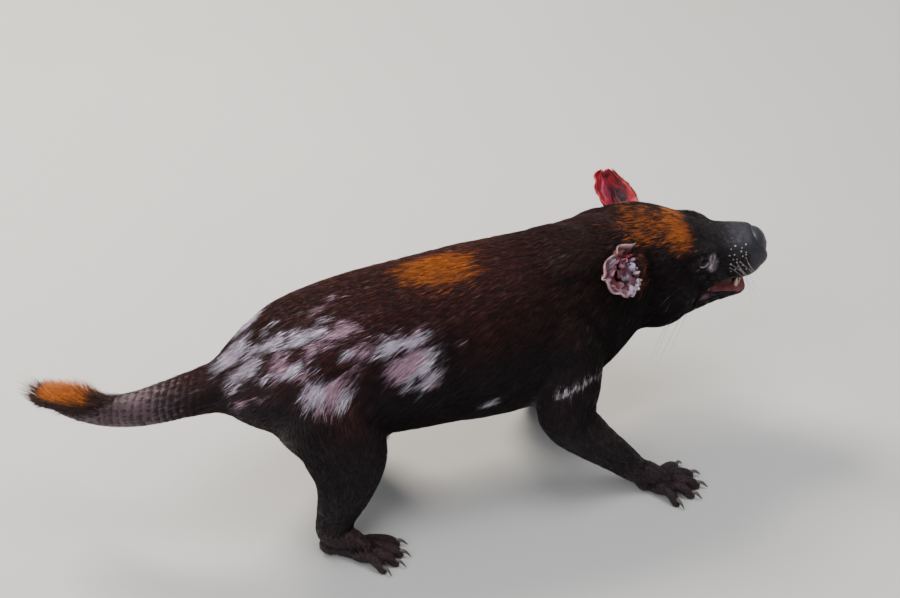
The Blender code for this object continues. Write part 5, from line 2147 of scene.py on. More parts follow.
@dataclass
class Coat:
    """The short, close fur over the whole body."""

    skin: Skin  # the skin that it grows from
    markings: Markings
    clump: int = 13  # tufts in one clump
    gather: float = 0.50  # how far a tip is drawn to the middle of its clump
    piece_limit: int = 195_000  # the most triangles in a piece
    fewest: int = 50  # fewer tufts than this make no piece
    seed: int = 21

    def cover(self, points: Array, normals: Array) -> Array:
        """How thick the hair grows.

        Args:
            points: Places on the skin.
            normals: Outward directions there.

        Returns:
            1 where it grows and 0 on the nose, the eyes, the mouth, the soles and the pads.
        """
        head = HeadFrame.into(points)
        turned = HeadFrame.turn_in(normals)
        keep = 1.0 - mouth_share(head, turned)
        keep *= BESIDE_NOSE(head[:, 0] + 0.25 * np.abs(head[:, 2]))
        keep *= 1.0 - 0.8 * smoothstep(-46.0, -26.0, head[:, 0]) * smoothstep(-4.0, 8.0, head[:, 2])
        lip = (head[:, 0] > -80.0) & (head[:, 2] < -21.0) & (head[:, 2] > LOWER_LIP - 4.0)
        keep *= np.where(lip & (np.abs(turned[:, 2]) > 0.55), 0.0, 1.0)
        for eye in EYES:
            along, up, out = eye.local(head).T
            ring = np.hypot(along / (eye.half_long + 0.7), up / (eye.half_tall + 0.7))
            keep *= np.where((out > 0) & (ring < 1.0), 0.0, 1.0)
            keep *= np.where((out > -8.0) & (eye.tear(along - 2.5, up) < 0.92), 0.04, 1.0)
        for ear in EARS:
            keep *= 1.0 - ear.cup(head)
        keep *= np.where((points[:, 2] < 5.0) & (normals[:, 2] < 0.2), 0.0, 1.0)
        return keep

    def roots(self, draw: np.random.Generator) -> tuple[Array, Array]:
        """Spreads the roots evenly over the skin.

        Args:
            draw: The random draws.

        Returns:
            The triangle of each root and its three shares in the triangle.
        """
        surface = self.skin.surface
        corners = surface.points[surface.faces]
        edges = corners[:, 1:] - corners[:, :1]
        area = 0.5 * np.linalg.norm(np.cross(edges[:, 0], edges[:, 1]), axis=1)
        normals = surface.normals()
        _, hair, _ = self.skin.lie.read(surface.points, normals)
        wanted = (hair[:, 3] * self.cover(surface.points, normals))[surface.faces].min(axis=1)
        total = np.cumsum(area * 0.01 * wanted)
        count = int(total[-1])
        picks = np.searchsorted(total, (np.arange(count) + draw.random(count)) * total[-1] / count)
        picks = np.minimum(picks, len(area) - 1)
        a, b = np.sqrt(draw.random(count)), draw.random(count)
        return picks, np.stack([1.0 - a, a * (1.0 - b), a * b], axis=1)

    def grow(self) -> tuple[Tufts, Array]:
        """Grows every tuft.

        Returns:
            The tufts and the number of each one's region.
        """
        draw = np.random.default_rng(self.seed)
        surface = self.skin.surface
        picks, shares = self.roots(draw)
        corners = surface.faces[picks]
        root = np.einsum("nk,nkd->nd", shares, surface.points[corners])
        normal = unit(np.einsum("nk,nkd->nd", shares, surface.normals()[corners]))
        lie, hair, region = self.skin.lie.read(root, normal)
        count = len(root)
        way, shared = clumped(root, self.clump, draw)
        yaw = np.radians(draw.normal(0.0, 6.0, count) + 16.0 * (shared - 0.5))
        side = np.cross(normal, lie)
        lie = unit(lie * np.cos(yaw)[:, None] + side * np.sin(yaw)[:, None])
        tone = np.clip(0.55 * shared + 0.45 * draw.random(count), 0.0, 1.0)
        spots = Spots(root, normal, lie)
        roots, tips = self.markings.coat(spots, tone)
        length = hair[:, 0] * (0.72 + 0.28 * draw.random(count) + 0.25 * shared)
        length *= 1.0 - 0.5 * smoothstep(0.2, 0.6, self.markings.stripe(spots))
        lift = np.radians(hair[:, 2] * (0.55 + 0.6 * draw.random(count) + 0.4 * shared))
        bend = 0.62 * np.sin(lift)
        width = hair[:, 4] * (0.75 + 0.5 * draw.random(count))
        way = way - normal * dot(way, normal)[:, None]
        limit = 0.30 * length / np.maximum(np.linalg.norm(way, axis=1), 1e-6)
        way = way * np.minimum(self.gather, limit)[:, None]
        chart = self.chart(root, region)
        tufts = Tufts(root, normal, lie, length, width, lift, bend, way, roots, tips, chart)
        self.follow(tufts)
        return tufts, region

    def follow(self, tufts: Tufts) -> None:
        """Bends the tufts so that their tips keep their height over the skin's hollows and swellings.

        Args:
            tufts: The tufts, whose bends change.
        """
        surface = self.skin.surface
        tip = tufts.middle(1.0)
        near = nearest(surface.points, tip)
        gap = dot(tip - surface.points[near], surface.normals()[near])
        wanted = 0.38 * tufts.length * np.sin(tufts.lift) + 0.3
        tufts.bend -= np.clip((wanted - gap) / tufts.length, -0.20, 0.50)

    def chart(self, points: Array, region: Array) -> Array:
        """Spreads the roots on an unwrap of the skin.

        Args:
            points: The roots.
            region: The number of each one's region.

        Returns:
            The turn round the region's axis and the way along it.
        """
        places = np.zeros((len(points), 2))
        for number, name in enumerate(self.skin.lie.regions):
            own = region == number
            if not own.any():
                continue
            start, end = region_axis(name)
            axis = unit(end - start)
            over = np.array((0.0, 0.0, 1.0)) - axis * axis[2]
            if np.linalg.norm(over) < 0.5:
                over = np.array((1.0, 0.0, 0.0)) - axis * axis[0]
            over = unit(over)
            across = np.cross(axis, over)
            away = points[own] - start
            places[own, 0] = np.arctan2(away @ across, away @ over) / (2 * math.pi) + 0.5
            places[own, 1] = away @ axis
        return places

    def build(self) -> None:
        """Makes the coat in pieces, by region and then along it."""
        tufts, region = self.grow()
        over = np.random.default_rng(self.seed + 1).random(len(region)) > UNDER_SHARE
        is_long = (tufts.length >= LONG_HAIR_FROM) & over
        fur = FurFinish().make()
        total = 0
        for number, name in enumerate(self.skin.lie.regions):
            for shape, label in ((LONG_TUFT, "coat"), (SHORT_TUFT, "nap")):
                own = np.nonzero((region == number) & (is_long if shape is LONG_TUFT else ~is_long))[0]
                if len(own) < self.fewest:
                    continue
                own = own[np.argsort(tufts.chart[own, 1])]
                parts = math.ceil(len(own) * len(shape.faces()) / self.piece_limit)
                for part, chosen in enumerate(np.array_split(own, parts)):
                    piece = tufts.pick(chosen)
                    low, high = piece.chart[:, 1].min(), piece.chart[:, 1].max()
                    piece.chart[:, 1] = (piece.chart[:, 1] - low) / (high - low)
                    piece.chart = inset(piece.chart)
                    suffix = f"_{part + 1}" if parts > 1 else ""
                    piece.build(f"{label}_{name.value}{suffix}", shape, fur, "coat")
                    total += len(chosen) * len(shape.faces())
        LOG.info("coat: %d tufts, %d triangles", len(tufts.root), total)


# --- The tail's brush ---
@dataclass
class Brush:
    """The long hair along the top of the tail's end and beyond its tip."""

    count: int = 6000
    first: float = 0.50  # where the brush starts, as a share of the tail's length
    clump: int = 14  # tufts in one clump
    seed: int = 8

    def build(self) -> None:
        """Makes the brush as one piece."""
        draw = np.random.default_rng(self.seed)
        rows = smooth_rows([(*ring.centre, ring.wide) for ring in TAIL], 12)
        share = self.first + (1.0 - self.first) * draw.random(self.count) ** 0.62
        step = share * (len(rows) - 1)
        low = np.minimum(step.astype(int), len(rows) - 2)
        row = rows[low] + (rows[low + 1] - rows[low]) * (step - low)[:, None]
        along = unit(rows[low + 1, :3] - rows[low, :3])
        over = unit(np.array((0.0, 0.0, 1.0)) - along * along[:, 2:3])
        across = np.cross(along, over)
        at_tip = smoothstep(0.93, 1.0, share)
        turn = draw.normal(0.0, 1.0, self.count) * (0.62 + 1.5 * at_tip)
        outward = over * np.cos(turn)[:, None] + across * np.sin(turn)[:, None]
        crest = smoothstep(1.5, 0.4, np.abs(turn))
        rise = smoothstep(0.50, 0.66, share)
        height = rise * crest * (1.0 - 0.55 * at_tip)
        length = 8.0 + 20.0 * rise * (0.25 + 0.75 * crest) + 7.0 * at_tip
        length *= 0.6 + 0.55 * draw.random(self.count)
        lift = np.radians(8.0 + 56.0 * height + draw.normal(0.0, 8.0, self.count))
        bend = 0.20 * np.sin(lift)
        root = row[:, :3] + outward * (row[:, 3] - 1.0)[:, None]
        way, shared = clumped(root, self.clump, draw)
        tone = 0.5 * shared + 0.5 * draw.random(self.count)
        frayed = share + 0.10 * (tone - 0.5)
        flame = smoothstep(0.56, 0.66, frayed) * smoothstep(0.96, 0.86, frayed)
        flame *= smoothstep(1.25, 0.65, np.abs(turn - 0.30))
        wisp = at_tip * (draw.random(self.count) < 0.05)
        length *= 1.0 + 0.5 * wisp
        flame = np.maximum(flame, wisp)
        flame = smoothstep(0.1, 0.9, flame * (0.6 + 0.8 * tone))
        orange = Tone.ORANGE.rgb * (0.40 + 0.85 * tone)[:, None]
        tips = mix(Tone.BRUSH.rgb, orange, flame)
        roots = mix(Tone.BRUSH_ROOT.rgb, 0.14 * Tone.ORANGE.rgb, flame)
        chart = np.stack([turn / (2 * math.pi) % 1.0, (share - self.first) / (1.0 - self.first)], axis=1)
        width = 0.30 + 0.24 * draw.random(self.count)
        tufts = Tufts(root, outward, along, length, width, lift, bend, 0.5 * way, roots, tips, inset(chart))
        hair = FurFinish("brush_hair", 0.42, 0.05, (1.0, 0.7, 0.4)).make()
        tufts.build("tail_brush", BRUSH_TUFT, hair, "tail_brush")


# --- Nose, mouth, ears, whiskers and claws ---
@dataclass(frozen=True)
class NosePad:
    """The bare, wet end of the nose."""

    centre: Triple = (-14.5, 0, -2.6)  # its middle in the head's frame
    radii: Triple = (15.1, 19.0, 18.6)
    nostril: Triple = (-1.2, 8.2, -2.5)  # place of a nostril: forward, out and up
    fineness: int = 120  # points round it

    def build(self) -> None:
        """Makes the pad with its nostrils and the groove under them."""
        clay = Clay()
        clay.ball(self.centre, self.radii, fineness=self.fineness)
        points = clay.points[0]
        outward = unit((points - self.centre) / np.array(self.radii) ** 2)
        shift = np.zeros(len(points))
        front = points[:, 0] > self.centre[0] - 1.0
        for side in (-1, 1):
            away = points - np.array(self.nostril) * (1, side, 1)
            pit = np.exp(-((away[:, 1] / 3.0) ** 2) - (away[:, 2] / 2.7) ** 2)
            slit_y, slit_z = side * points[:, 1] - 12.6, points[:, 2] + 2.2
            slit = np.exp(-((slit_y / 3.8) ** 2) - ((slit_z + 0.3 * slit_y) / 1.5) ** 2)
            rim = np.exp(-((np.hypot(away[:, 1], away[:, 2]) - 5.0) / 1.5) ** 2)
            shift += front * (0.7 * rim - 4.6 * pit - 2.0 * slit)
        shift -= 1.1 * np.exp(-((points[:, 1] / 0.8) ** 2)) * smoothstep(3.0, -2.0, points[:, 2])
        points = points + outward * shift[:, None]
        surface = Surface(HeadFrame.out(points), clay.triangles())
        wet = WetFinish("nose_skin", (0.022, 0.022, 0.029), 1100.0, 0.10, 0.42, 0.30)
        finished("nose_pad", surface, wet.make())


@dataclass(frozen=True)
class ToothRow:
    """A row of like teeth on both sides of a jaw."""

    count: int  # teeth on each side
    first: Triple  # the first one's place on the left, in the head's frame
    step: Triple  # the way from one to the next
    length: float  # height of a tooth, below zero for the upper jaw
    radius: float  # radius at the gum
    lean: float  # how far a point leans forward

    def place(self, number: int, side: int) -> Triple:
        """The place of one tooth; the side is 1 on the left and -1 on the right."""
        x, y, z = (start + number * step for start, step in zip(self.first, self.step))
        return x, y * side, z


UPPER_TEETH = (
    ToothRow(1, (-20, 13.4, -23.0), (0, 0, 0), -14.5, 2.8, 2),
    ToothRow(4, (-8.6, 1.8, -19.5), (-1.5, 3.0, 0), -6.0, 1.45, 0.8),
    ToothRow(4, (-31, 15.4, -26.5), (-8.5, 1.5, -2.0), -4.6, 2.5, 0.5),
)
LOWER_TEETH = (
    ToothRow(1, (-33, 10.0, LOWER_LIP - 0.5), (0, 0, 0), 12.5, 2.5, 2),
    ToothRow(3, (-27.0, 1.7, LOWER_LIP - 0.5), (-1.2, 2.7, 0), 5.0, 1.25, 0.8),
    ToothRow(4, (-42, 12.2, -53.5), (-7.6, 2.3, 2.0), 4.4, 2.2, 0.5),
)


@dataclass(frozen=True)
class Mouth:
    """Teeth and tongue."""

    sides: int = 12

    def tooth(self, root: Triple, length: float, radius: float, lean: float) -> Surface:
        """A tapered, slightly curved tooth.

        Args:
            root: Its place on the gum, in the head's frame.
            length: Its height, below zero for the upper jaw.
            radius: Its radius at the gum.
            lean: How far its point leans forward.

        Returns:
            The tooth.
        """
        share = np.linspace(-0.25, 1.0, 9)
        x, y, z = root
        curve = lean * np.clip(share, 0.0, 1.0) ** 1.6
        path = np.stack([x + curve, np.full(9, y), z + length * share], axis=1)
        radii = radius * (1.0 - np.clip(share[:-1], 0.0, 1.0) ** 1.35) ** 0.85
        return swept(HeadFrame.out(path), radii, self.sides, crown=tuple(HeadFrame.TURN[:, 0]))

    def build(self) -> None:
        """Makes the upper teeth, the lower teeth and the tongue."""
        ivory = HornFinish("ivory", (0.56, 0.47, 0.33), 0.30, 0.04, 0.2).make()
        for name, rows in (("teeth_upper", UPPER_TEETH), ("teeth_lower", LOWER_TEETH)):
            teeth = [self.tooth(row.place(k, side), row.length, row.radius, row.lean)
                     for side in (-1, 1) for row in rows for k in range(row.count)]
            finished(name, gathered(teeth), ivory)
        clay = Clay()
        clay.loft(TONGUE, 40, 10, in_head=True)
        tongue = clay.melt(0.9, 6)
        head = HeadFrame.into(tongue.points)
        groove = np.exp(-((head[:, 1] / 1.6) ** 2)) * smoothstep(-56, -50, head[:, 2])
        tongue.points -= HeadFrame.TURN[:, 2] * groove[:, None]
        pink = WetFinish("tongue_skin", (0.42, 0.125, 0.130), 1500.0, 0.16, 0.42, 0.5).make()
        finished("tongue_blade", tongue, pink, None, ("tongue",))


@dataclass(frozen=True)
class Fold:
    """A raised or sunken spot of an ear."""

    at: tuple[float, float]  # its place: across the ear, from -1 to 1, and up it, from 0 to 1
    reach: tuple[float, float]  # how far it goes across and up
    turn: float  # its slant in degrees
    height: float  # its height in millimetres, below zero for a hollow
    tone: Triple

    def strength(self, u: Array, v: Array) -> Array:
        """How much the fold counts.

        Args:
            u: From -1 to 1 across the ear.
            v: From 0 to 1 up it.

        Returns:
            1 in the middle of the fold, fading to 0.
        """
        c, s = math.cos(math.radians(self.turn)), math.sin(math.radians(self.turn))
        x, y = u - self.at[0], v - self.at[1]
        across, up = (x * c + y * s) / self.reach[0], (y * c - x * s) / self.reach[1]
        return np.exp(-(across**2) - up**2)


@dataclass(frozen=True)
class Lump:
    """A soft knob inside an ear."""

    at: Triple  # its middle: across the ear, up it and out of its cup, from the ear's root
    radii: Triple  # its radii in those directions
    tone: Triple
    turn: float = 0.0  # its slant in degrees

    def strength(self, points: Array) -> Array:
        """How much its colour counts at places in the ear's frame."""
        return np.exp(-np.sum(((points - self.at) / self.radii) ** 2, axis=1))


@dataclass(frozen=True)
class Ear:
    """One ear."""

    side: Side
    root: Triple  # in the head's frame: forward, out and up
    toward: Triple  # the way from root to tip
    opening: Triple  # the way that its cup faces
    folds: tuple[Fold, ...]
    flesh: Triple  # its main colour
    rim: Triple  # the colour of its rim
    glow: float  # weight of the light that passes through it
    trim: tuple[float, float, float]  # how much narrower its front grows upwards, from where and to where
    foot: tuple[float, float] = (0.56, 0.56)  # half-widths of its foot behind and in front, as shares
    crus: float = 0.0  # how far the foot of its front edge turns outwards
    crumple: float = 1.0  # height of the sharp creases all over it
    wave: float = 2.0  # height of the waves of its rim
    fringe: int = 0  # tufts in the fringe of its front edge
    lumps: tuple[Lump, ...] = ()  # the knobs in its cup
    across: int = 104  # points of its sheet from edge to edge
    upward: int = 84  # points of its sheet from foot to tip
    thickness: float = 1.9

    PORES = (0.07, 5200.0)  # depth and number in a metre of the finest wrinkles
    HAIRS = 2600  # tufts, with those of the fringe

    @property
    def mirror(self) -> Array:
        """Factors that turn forward, out and up into the head's frame."""
        return np.array((1, self.side.value, 1))

    def base(self) -> Triple:
        """The middle of the flesh under the ear, in the head's frame."""
        return tuple((np.array(self.root) - 14.0 * unit(np.array(self.toward))) * self.mirror)

    def sheet(self, u: Array, v: Array) -> Array:
        """Places on the ear's middle sheet.

        Args:
            u: From -1 to 1 across it.
            v: From 0 to 1 up it, or below 0 for the part in the head.

        Returns:
            Rows of across, up and out of the cup.
        """
        up = np.maximum(v, 0.0)
        round_tip = np.sqrt(np.maximum(0.0, 1.0 - (np.maximum(up - 0.5, 0.0) / 0.5) ** 2.2))
        widening = np.sin(0.5 * math.pi * np.minimum(1.0, up / 0.45))
        foot = np.where(u > 0, self.foot[1], self.foot[0])
        spread = (foot + (1.0 - foot) * widening) * np.maximum(round_tip, 0.16)
        amount, low, high = self.trim
        scallop = 1.0 - 0.07 * (1.0 + np.sin(19.0 * up)) * smoothstep(0.2, 0.5, up)
        spread = spread * np.where(u > 0, 1.0 - amount * smoothstep(low, high, up), scallop)
        curl = (4.0 + 7.0 * (1.0 - up) ** 1.3) * np.abs(u) ** 2.4
        curl = curl + self.crus * (1.0 - up) ** 2 * np.maximum(u, 0.0) ** 3
        hollow = -5.0 * (1.0 - u * u) * np.sin(math.pi * np.minimum(1.0, 0.18 + 0.82 * up)) ** 0.8
        crumple = 1.4 * np.sin(8.0 * u + 5.0 * up) * up * up
        crumple += 0.9 * np.sin(13.0 * up - 6.0 * u) * np.abs(u) * up
        wave = self.wave * np.sin(9.0 * u + 1.0) * up**4
        relief = sum(fold.height * fold.strength(u, up) for fold in self.folds)
        fine = Grain(31 + self.side.value).over(u * 7, up * 7, 1.0, 4)
        relief = relief + (1.3 * fine + self.crumple * self.creases(u, up)) * smoothstep(0.02, 0.2, up)
        out = hollow + curl + crumple + relief * (1.0 - 0.6 * np.abs(u) ** 6)
        return np.stack([0.5 * EAR_WIDTH * u * spread, EAR_LENGTH * v - wave, out], axis=-1)

    def creases(self, u: Array, v: Array) -> Array:
        """Sharp creases all over the ear.

        Args:
            u: From -1 to 1 across the ear.
            v: From 0 to 1 up it.

        Returns:
            1 on the crests and -1 between them.
        """
        noise = Grain(51 + self.side.value).over(u * 4.6 + v, v * 3.0 - 0.8 * u, 1.0, 2)
        return 1.0 - np.minimum(2.0, 5.0 * np.abs(noise))

    @property
    def axes(self) -> Array:
        """The ways across the ear, up it and out of its cup.

        Returns:
            Unit rows in the head's frame.
        """
        tip = unit(self.toward * self.mirror)
        mouth = self.opening * self.mirror
        mouth = unit(mouth - tip * (mouth @ tip))
        return np.stack([np.cross(tip, mouth), tip, mouth])

    def place(self, points: Array) -> Array:
        """Turns the ear's own places into the animal's frame."""
        return HeadFrame.out(points @ self.axes + self.root * self.mirror)

    def cup(self, head: Array) -> Array:
        """The foot of the cup, where no hair grows.

        Args:
            head: Places in the head's frame.

        Returns:
            1 inside it and 0 outside.
        """
        across, up, out = ((head - self.root * self.mirror) @ self.axes.T).T
        inside = (out > -1.5) & (out < 12.0) & (up < 12.0) & (up > -13.0) & (np.abs(across + 4.0) < 16.0)
        return inside.astype(float)

    def colours(self, u: Array, v: Array) -> Array:
        """Colours of the flesh, the folds and the rim, with painted shade in the creases and painted
        highlights on their crests.

        Args:
            u: From -1 to 1 across the ear.
            v: From 0 to 1 up it.

        Returns:
            A colour for each place.
        """
        spots = Grain(41).over(u * 8, v * 8, 1.0, 4)
        colour = np.tile(self.flesh, (len(u), 1)) * (1.0 + 0.45 * spots)[:, None]
        for fold in self.folds:
            share = smoothstep(0.22, 0.75, fold.strength(u, v) + 0.35 * spots)
            colour = mix(colour, np.array(fold.tone), share)
        creases = self.creases(u, v) + 0.6 * spots
        # Painted shade in the creases' troughs, and a painted highlight in the rim's colour on their crests
        colour = mix(colour, np.array(PAINTED_CREASE_SHADE), 0.6 * min(1.0, self.crumple) * smoothstep(0.1, -0.8, creases))
        colour = mix(colour, np.array(self.rim), 0.3 * smoothstep(0.55, 1.0, creases))
        edge = np.maximum(smoothstep(0.88, 1.0, np.abs(u)), smoothstep(0.92, 1.0, v))
        return mix(colour, np.array(self.rim), 0.85 * edge * smoothstep(-0.5, 0.3, spots + 0.15))

    def frame_at(self, u: Array, v: Array) -> tuple[Array, Array, Array]:
        """The sheet in the animal's frame.

        Args:
            u: From -1 to 1 across the ear.
            v: From 0 to 1 up it.

        Returns:
            Places, directions out of the cup and ways to the tip.
        """
        middle = self.place(self.sheet(u, v).reshape(-1, 3))
        step = 0.01
        ahead = self.place(self.sheet(u, v + step).reshape(-1, 3)) - middle
        aside = self.place(self.sheet(u + step, v).reshape(-1, 3)) - middle
        return middle, unit(np.cross(aside, ahead)), unit(ahead)

    def shell(self) -> None:
        """Makes the ear as a thin, folded, closed shell."""
        grid = np.linspace(-1, 1, self.across), np.linspace(-0.16, 1.0, self.upward)
        u, v = np.meshgrid(*grid, indexing="ij")
        middle = self.sheet(u, v)
        normal = unit(np.cross(np.gradient(middle, axis=0), np.gradient(middle, axis=1)))
        edge = np.minimum(1.0, np.minimum((1.0 - np.abs(u)) / 0.08, (1.0 - v) / 0.08))
        half = (0.5 * self.thickness * np.sqrt(np.clip(edge, 0.02, 1.0)))[..., None]
        points = np.vstack([(middle + normal * half).reshape(-1, 3), (middle - normal * half).reshape(-1, 3)])
        rows, columns = u.shape
        offset = rows * columns
        numbers = np.arange(offset).reshape(rows, columns)
        a, b = numbers[:-1, :-1].ravel(), numbers[1:, :-1].ravel()
        face = np.stack([a, b, b + 1, a + 1], axis=1)
        loop = np.concatenate([numbers[:, 0], numbers[-1, 1:], numbers[-2::-1, -1], numbers[0, -2:0:-1]])
        after = np.roll(loop, -1)
        faces = np.vstack([face, face[:, ::-1] + offset,
                           np.stack([loop, loop + offset, after + offset, after], axis=1)])
        colour = self.colours(np.tile(u.ravel(), 2), np.tile(v.ravel(), 2))
        name = self.side.word
        hide = HideFinish(f"ear_{name}_skin", *self.PORES, 0.36, self.glow).make()
        surface = Surface(self.place(points), faces)
        finished(f"ear_shell_{name}", surface, hide, colour, (f"ear_{name}",))

    def knobs(self) -> None:
        """Makes the soft, crumpled knobs in the ear's cup as one piece, coloured with painted shade in their
        hollows and painted highlights on their crests.
        """
        clay = Clay()
        for lump in self.lumps:
            clay.ball(lump.at, lump.radii, (0, 0, lump.turn), fineness=24)
        made = clay.melt(0.5, 2)
        crease = Grain(77).at(made.points, 4.0, 3)
        weights = np.array([lump.strength(made.points) for lump in self.lumps]).T + 1e-9
        colour = weights**2 @ np.array([lump.tone for lump in self.lumps])
        colour /= (weights**2).sum(axis=1, keepdims=True)
        # Painted shade in the hollows of the crumpling and painted highlight on its crests, from the same
        # field that moves the surface next
        colour = mix(colour, np.array(PAINTED_CREASE_SHADE), smoothstep(0.0, -0.45, crease)) * (1.0 + 0.5 * crease)[:, None]
        points = made.points + made.normals() * (1.35 * crease)[:, None]
        name = self.side.word
        hide = HideFinish(f"ear_folds_{name}_skin", *self.PORES, 0.32, self.glow).make()
        finished(f"ear_folds_{name}", Surface(self.place(points), made.faces), hide, colour)

    def hairs(self) -> None:
        """Makes the short hair on the ear's back and the longer fringe of its front edge."""
        draw = np.random.default_rng(60 + self.side.value)
        count, fringe = self.HAIRS, self.fringe
        reach = 0.97 if fringe else 0.84
        u, v = draw.uniform(-reach, reach, count), reach * draw.random(count) ** 1.25
        u[:fringe], v[:fringe] = draw.uniform(0.94, 1.0, fringe), draw.uniform(0.0, 0.92, fringe)
        root, normal, ahead = self.frame_at(u, v)
        back = -normal
        aside = np.cross(ahead, back)
        outward = aside * np.sign(dot(aside, root - root.mean(axis=0)))[:, None]
        is_fringe = np.arange(count) < fringe
        lie = unit(ahead + np.where(is_fringe, 0.5, 0.12 * draw.normal(size=count))[:, None] * outward)
        tone = draw.random(count)
        length = np.where(is_fringe, 5.5, 3.6) * (0.6 + 0.6 * draw.random(count))
        root = root + back * 0.5 * self.thickness
        dark = np.tile(Tone.DARK.rgb * 1.4, (count, 1))
        # Painted sunlight: the fringe's tips, and a little of the back's, turn orange
        sunlit_orange = Tone.ORANGE.rgb * (0.35 + 0.8 * tone)[:, None]
        tips = mix(dark, sunlit_orange, np.where(is_fringe, 1.0, 0.12))
        lift = np.radians(np.where(is_fringe, 18.0, 9.0))
        chart = inset(np.stack([0.5 + 0.5 * u, np.clip(v, 0, 1)], axis=1))
        tufts = Tufts(root, back, lie, length, np.full(count, 0.42), lift, 0.3 * np.sin(lift),
                      np.zeros((count, 3)), dark, tips, chart)
        name = f"ear_hair_{self.side.word}"
        tufts.build(name, LONG_TUFT, FurFinish(name).make(), "coat")

    def build(self) -> None:
        """Makes the ear, its knobs and its hair."""
        self.shell()
        if self.lumps:
            self.knobs()
        self.hairs()


# The last of these is the dark red of painted shade in the ears' creases and sunken folds
BLUISH, MAUVE, PAINTED_CREASE_SHADE = (0.50, 0.43, 0.58), (0.40, 0.21, 0.28), (0.085, 0.014, 0.020)
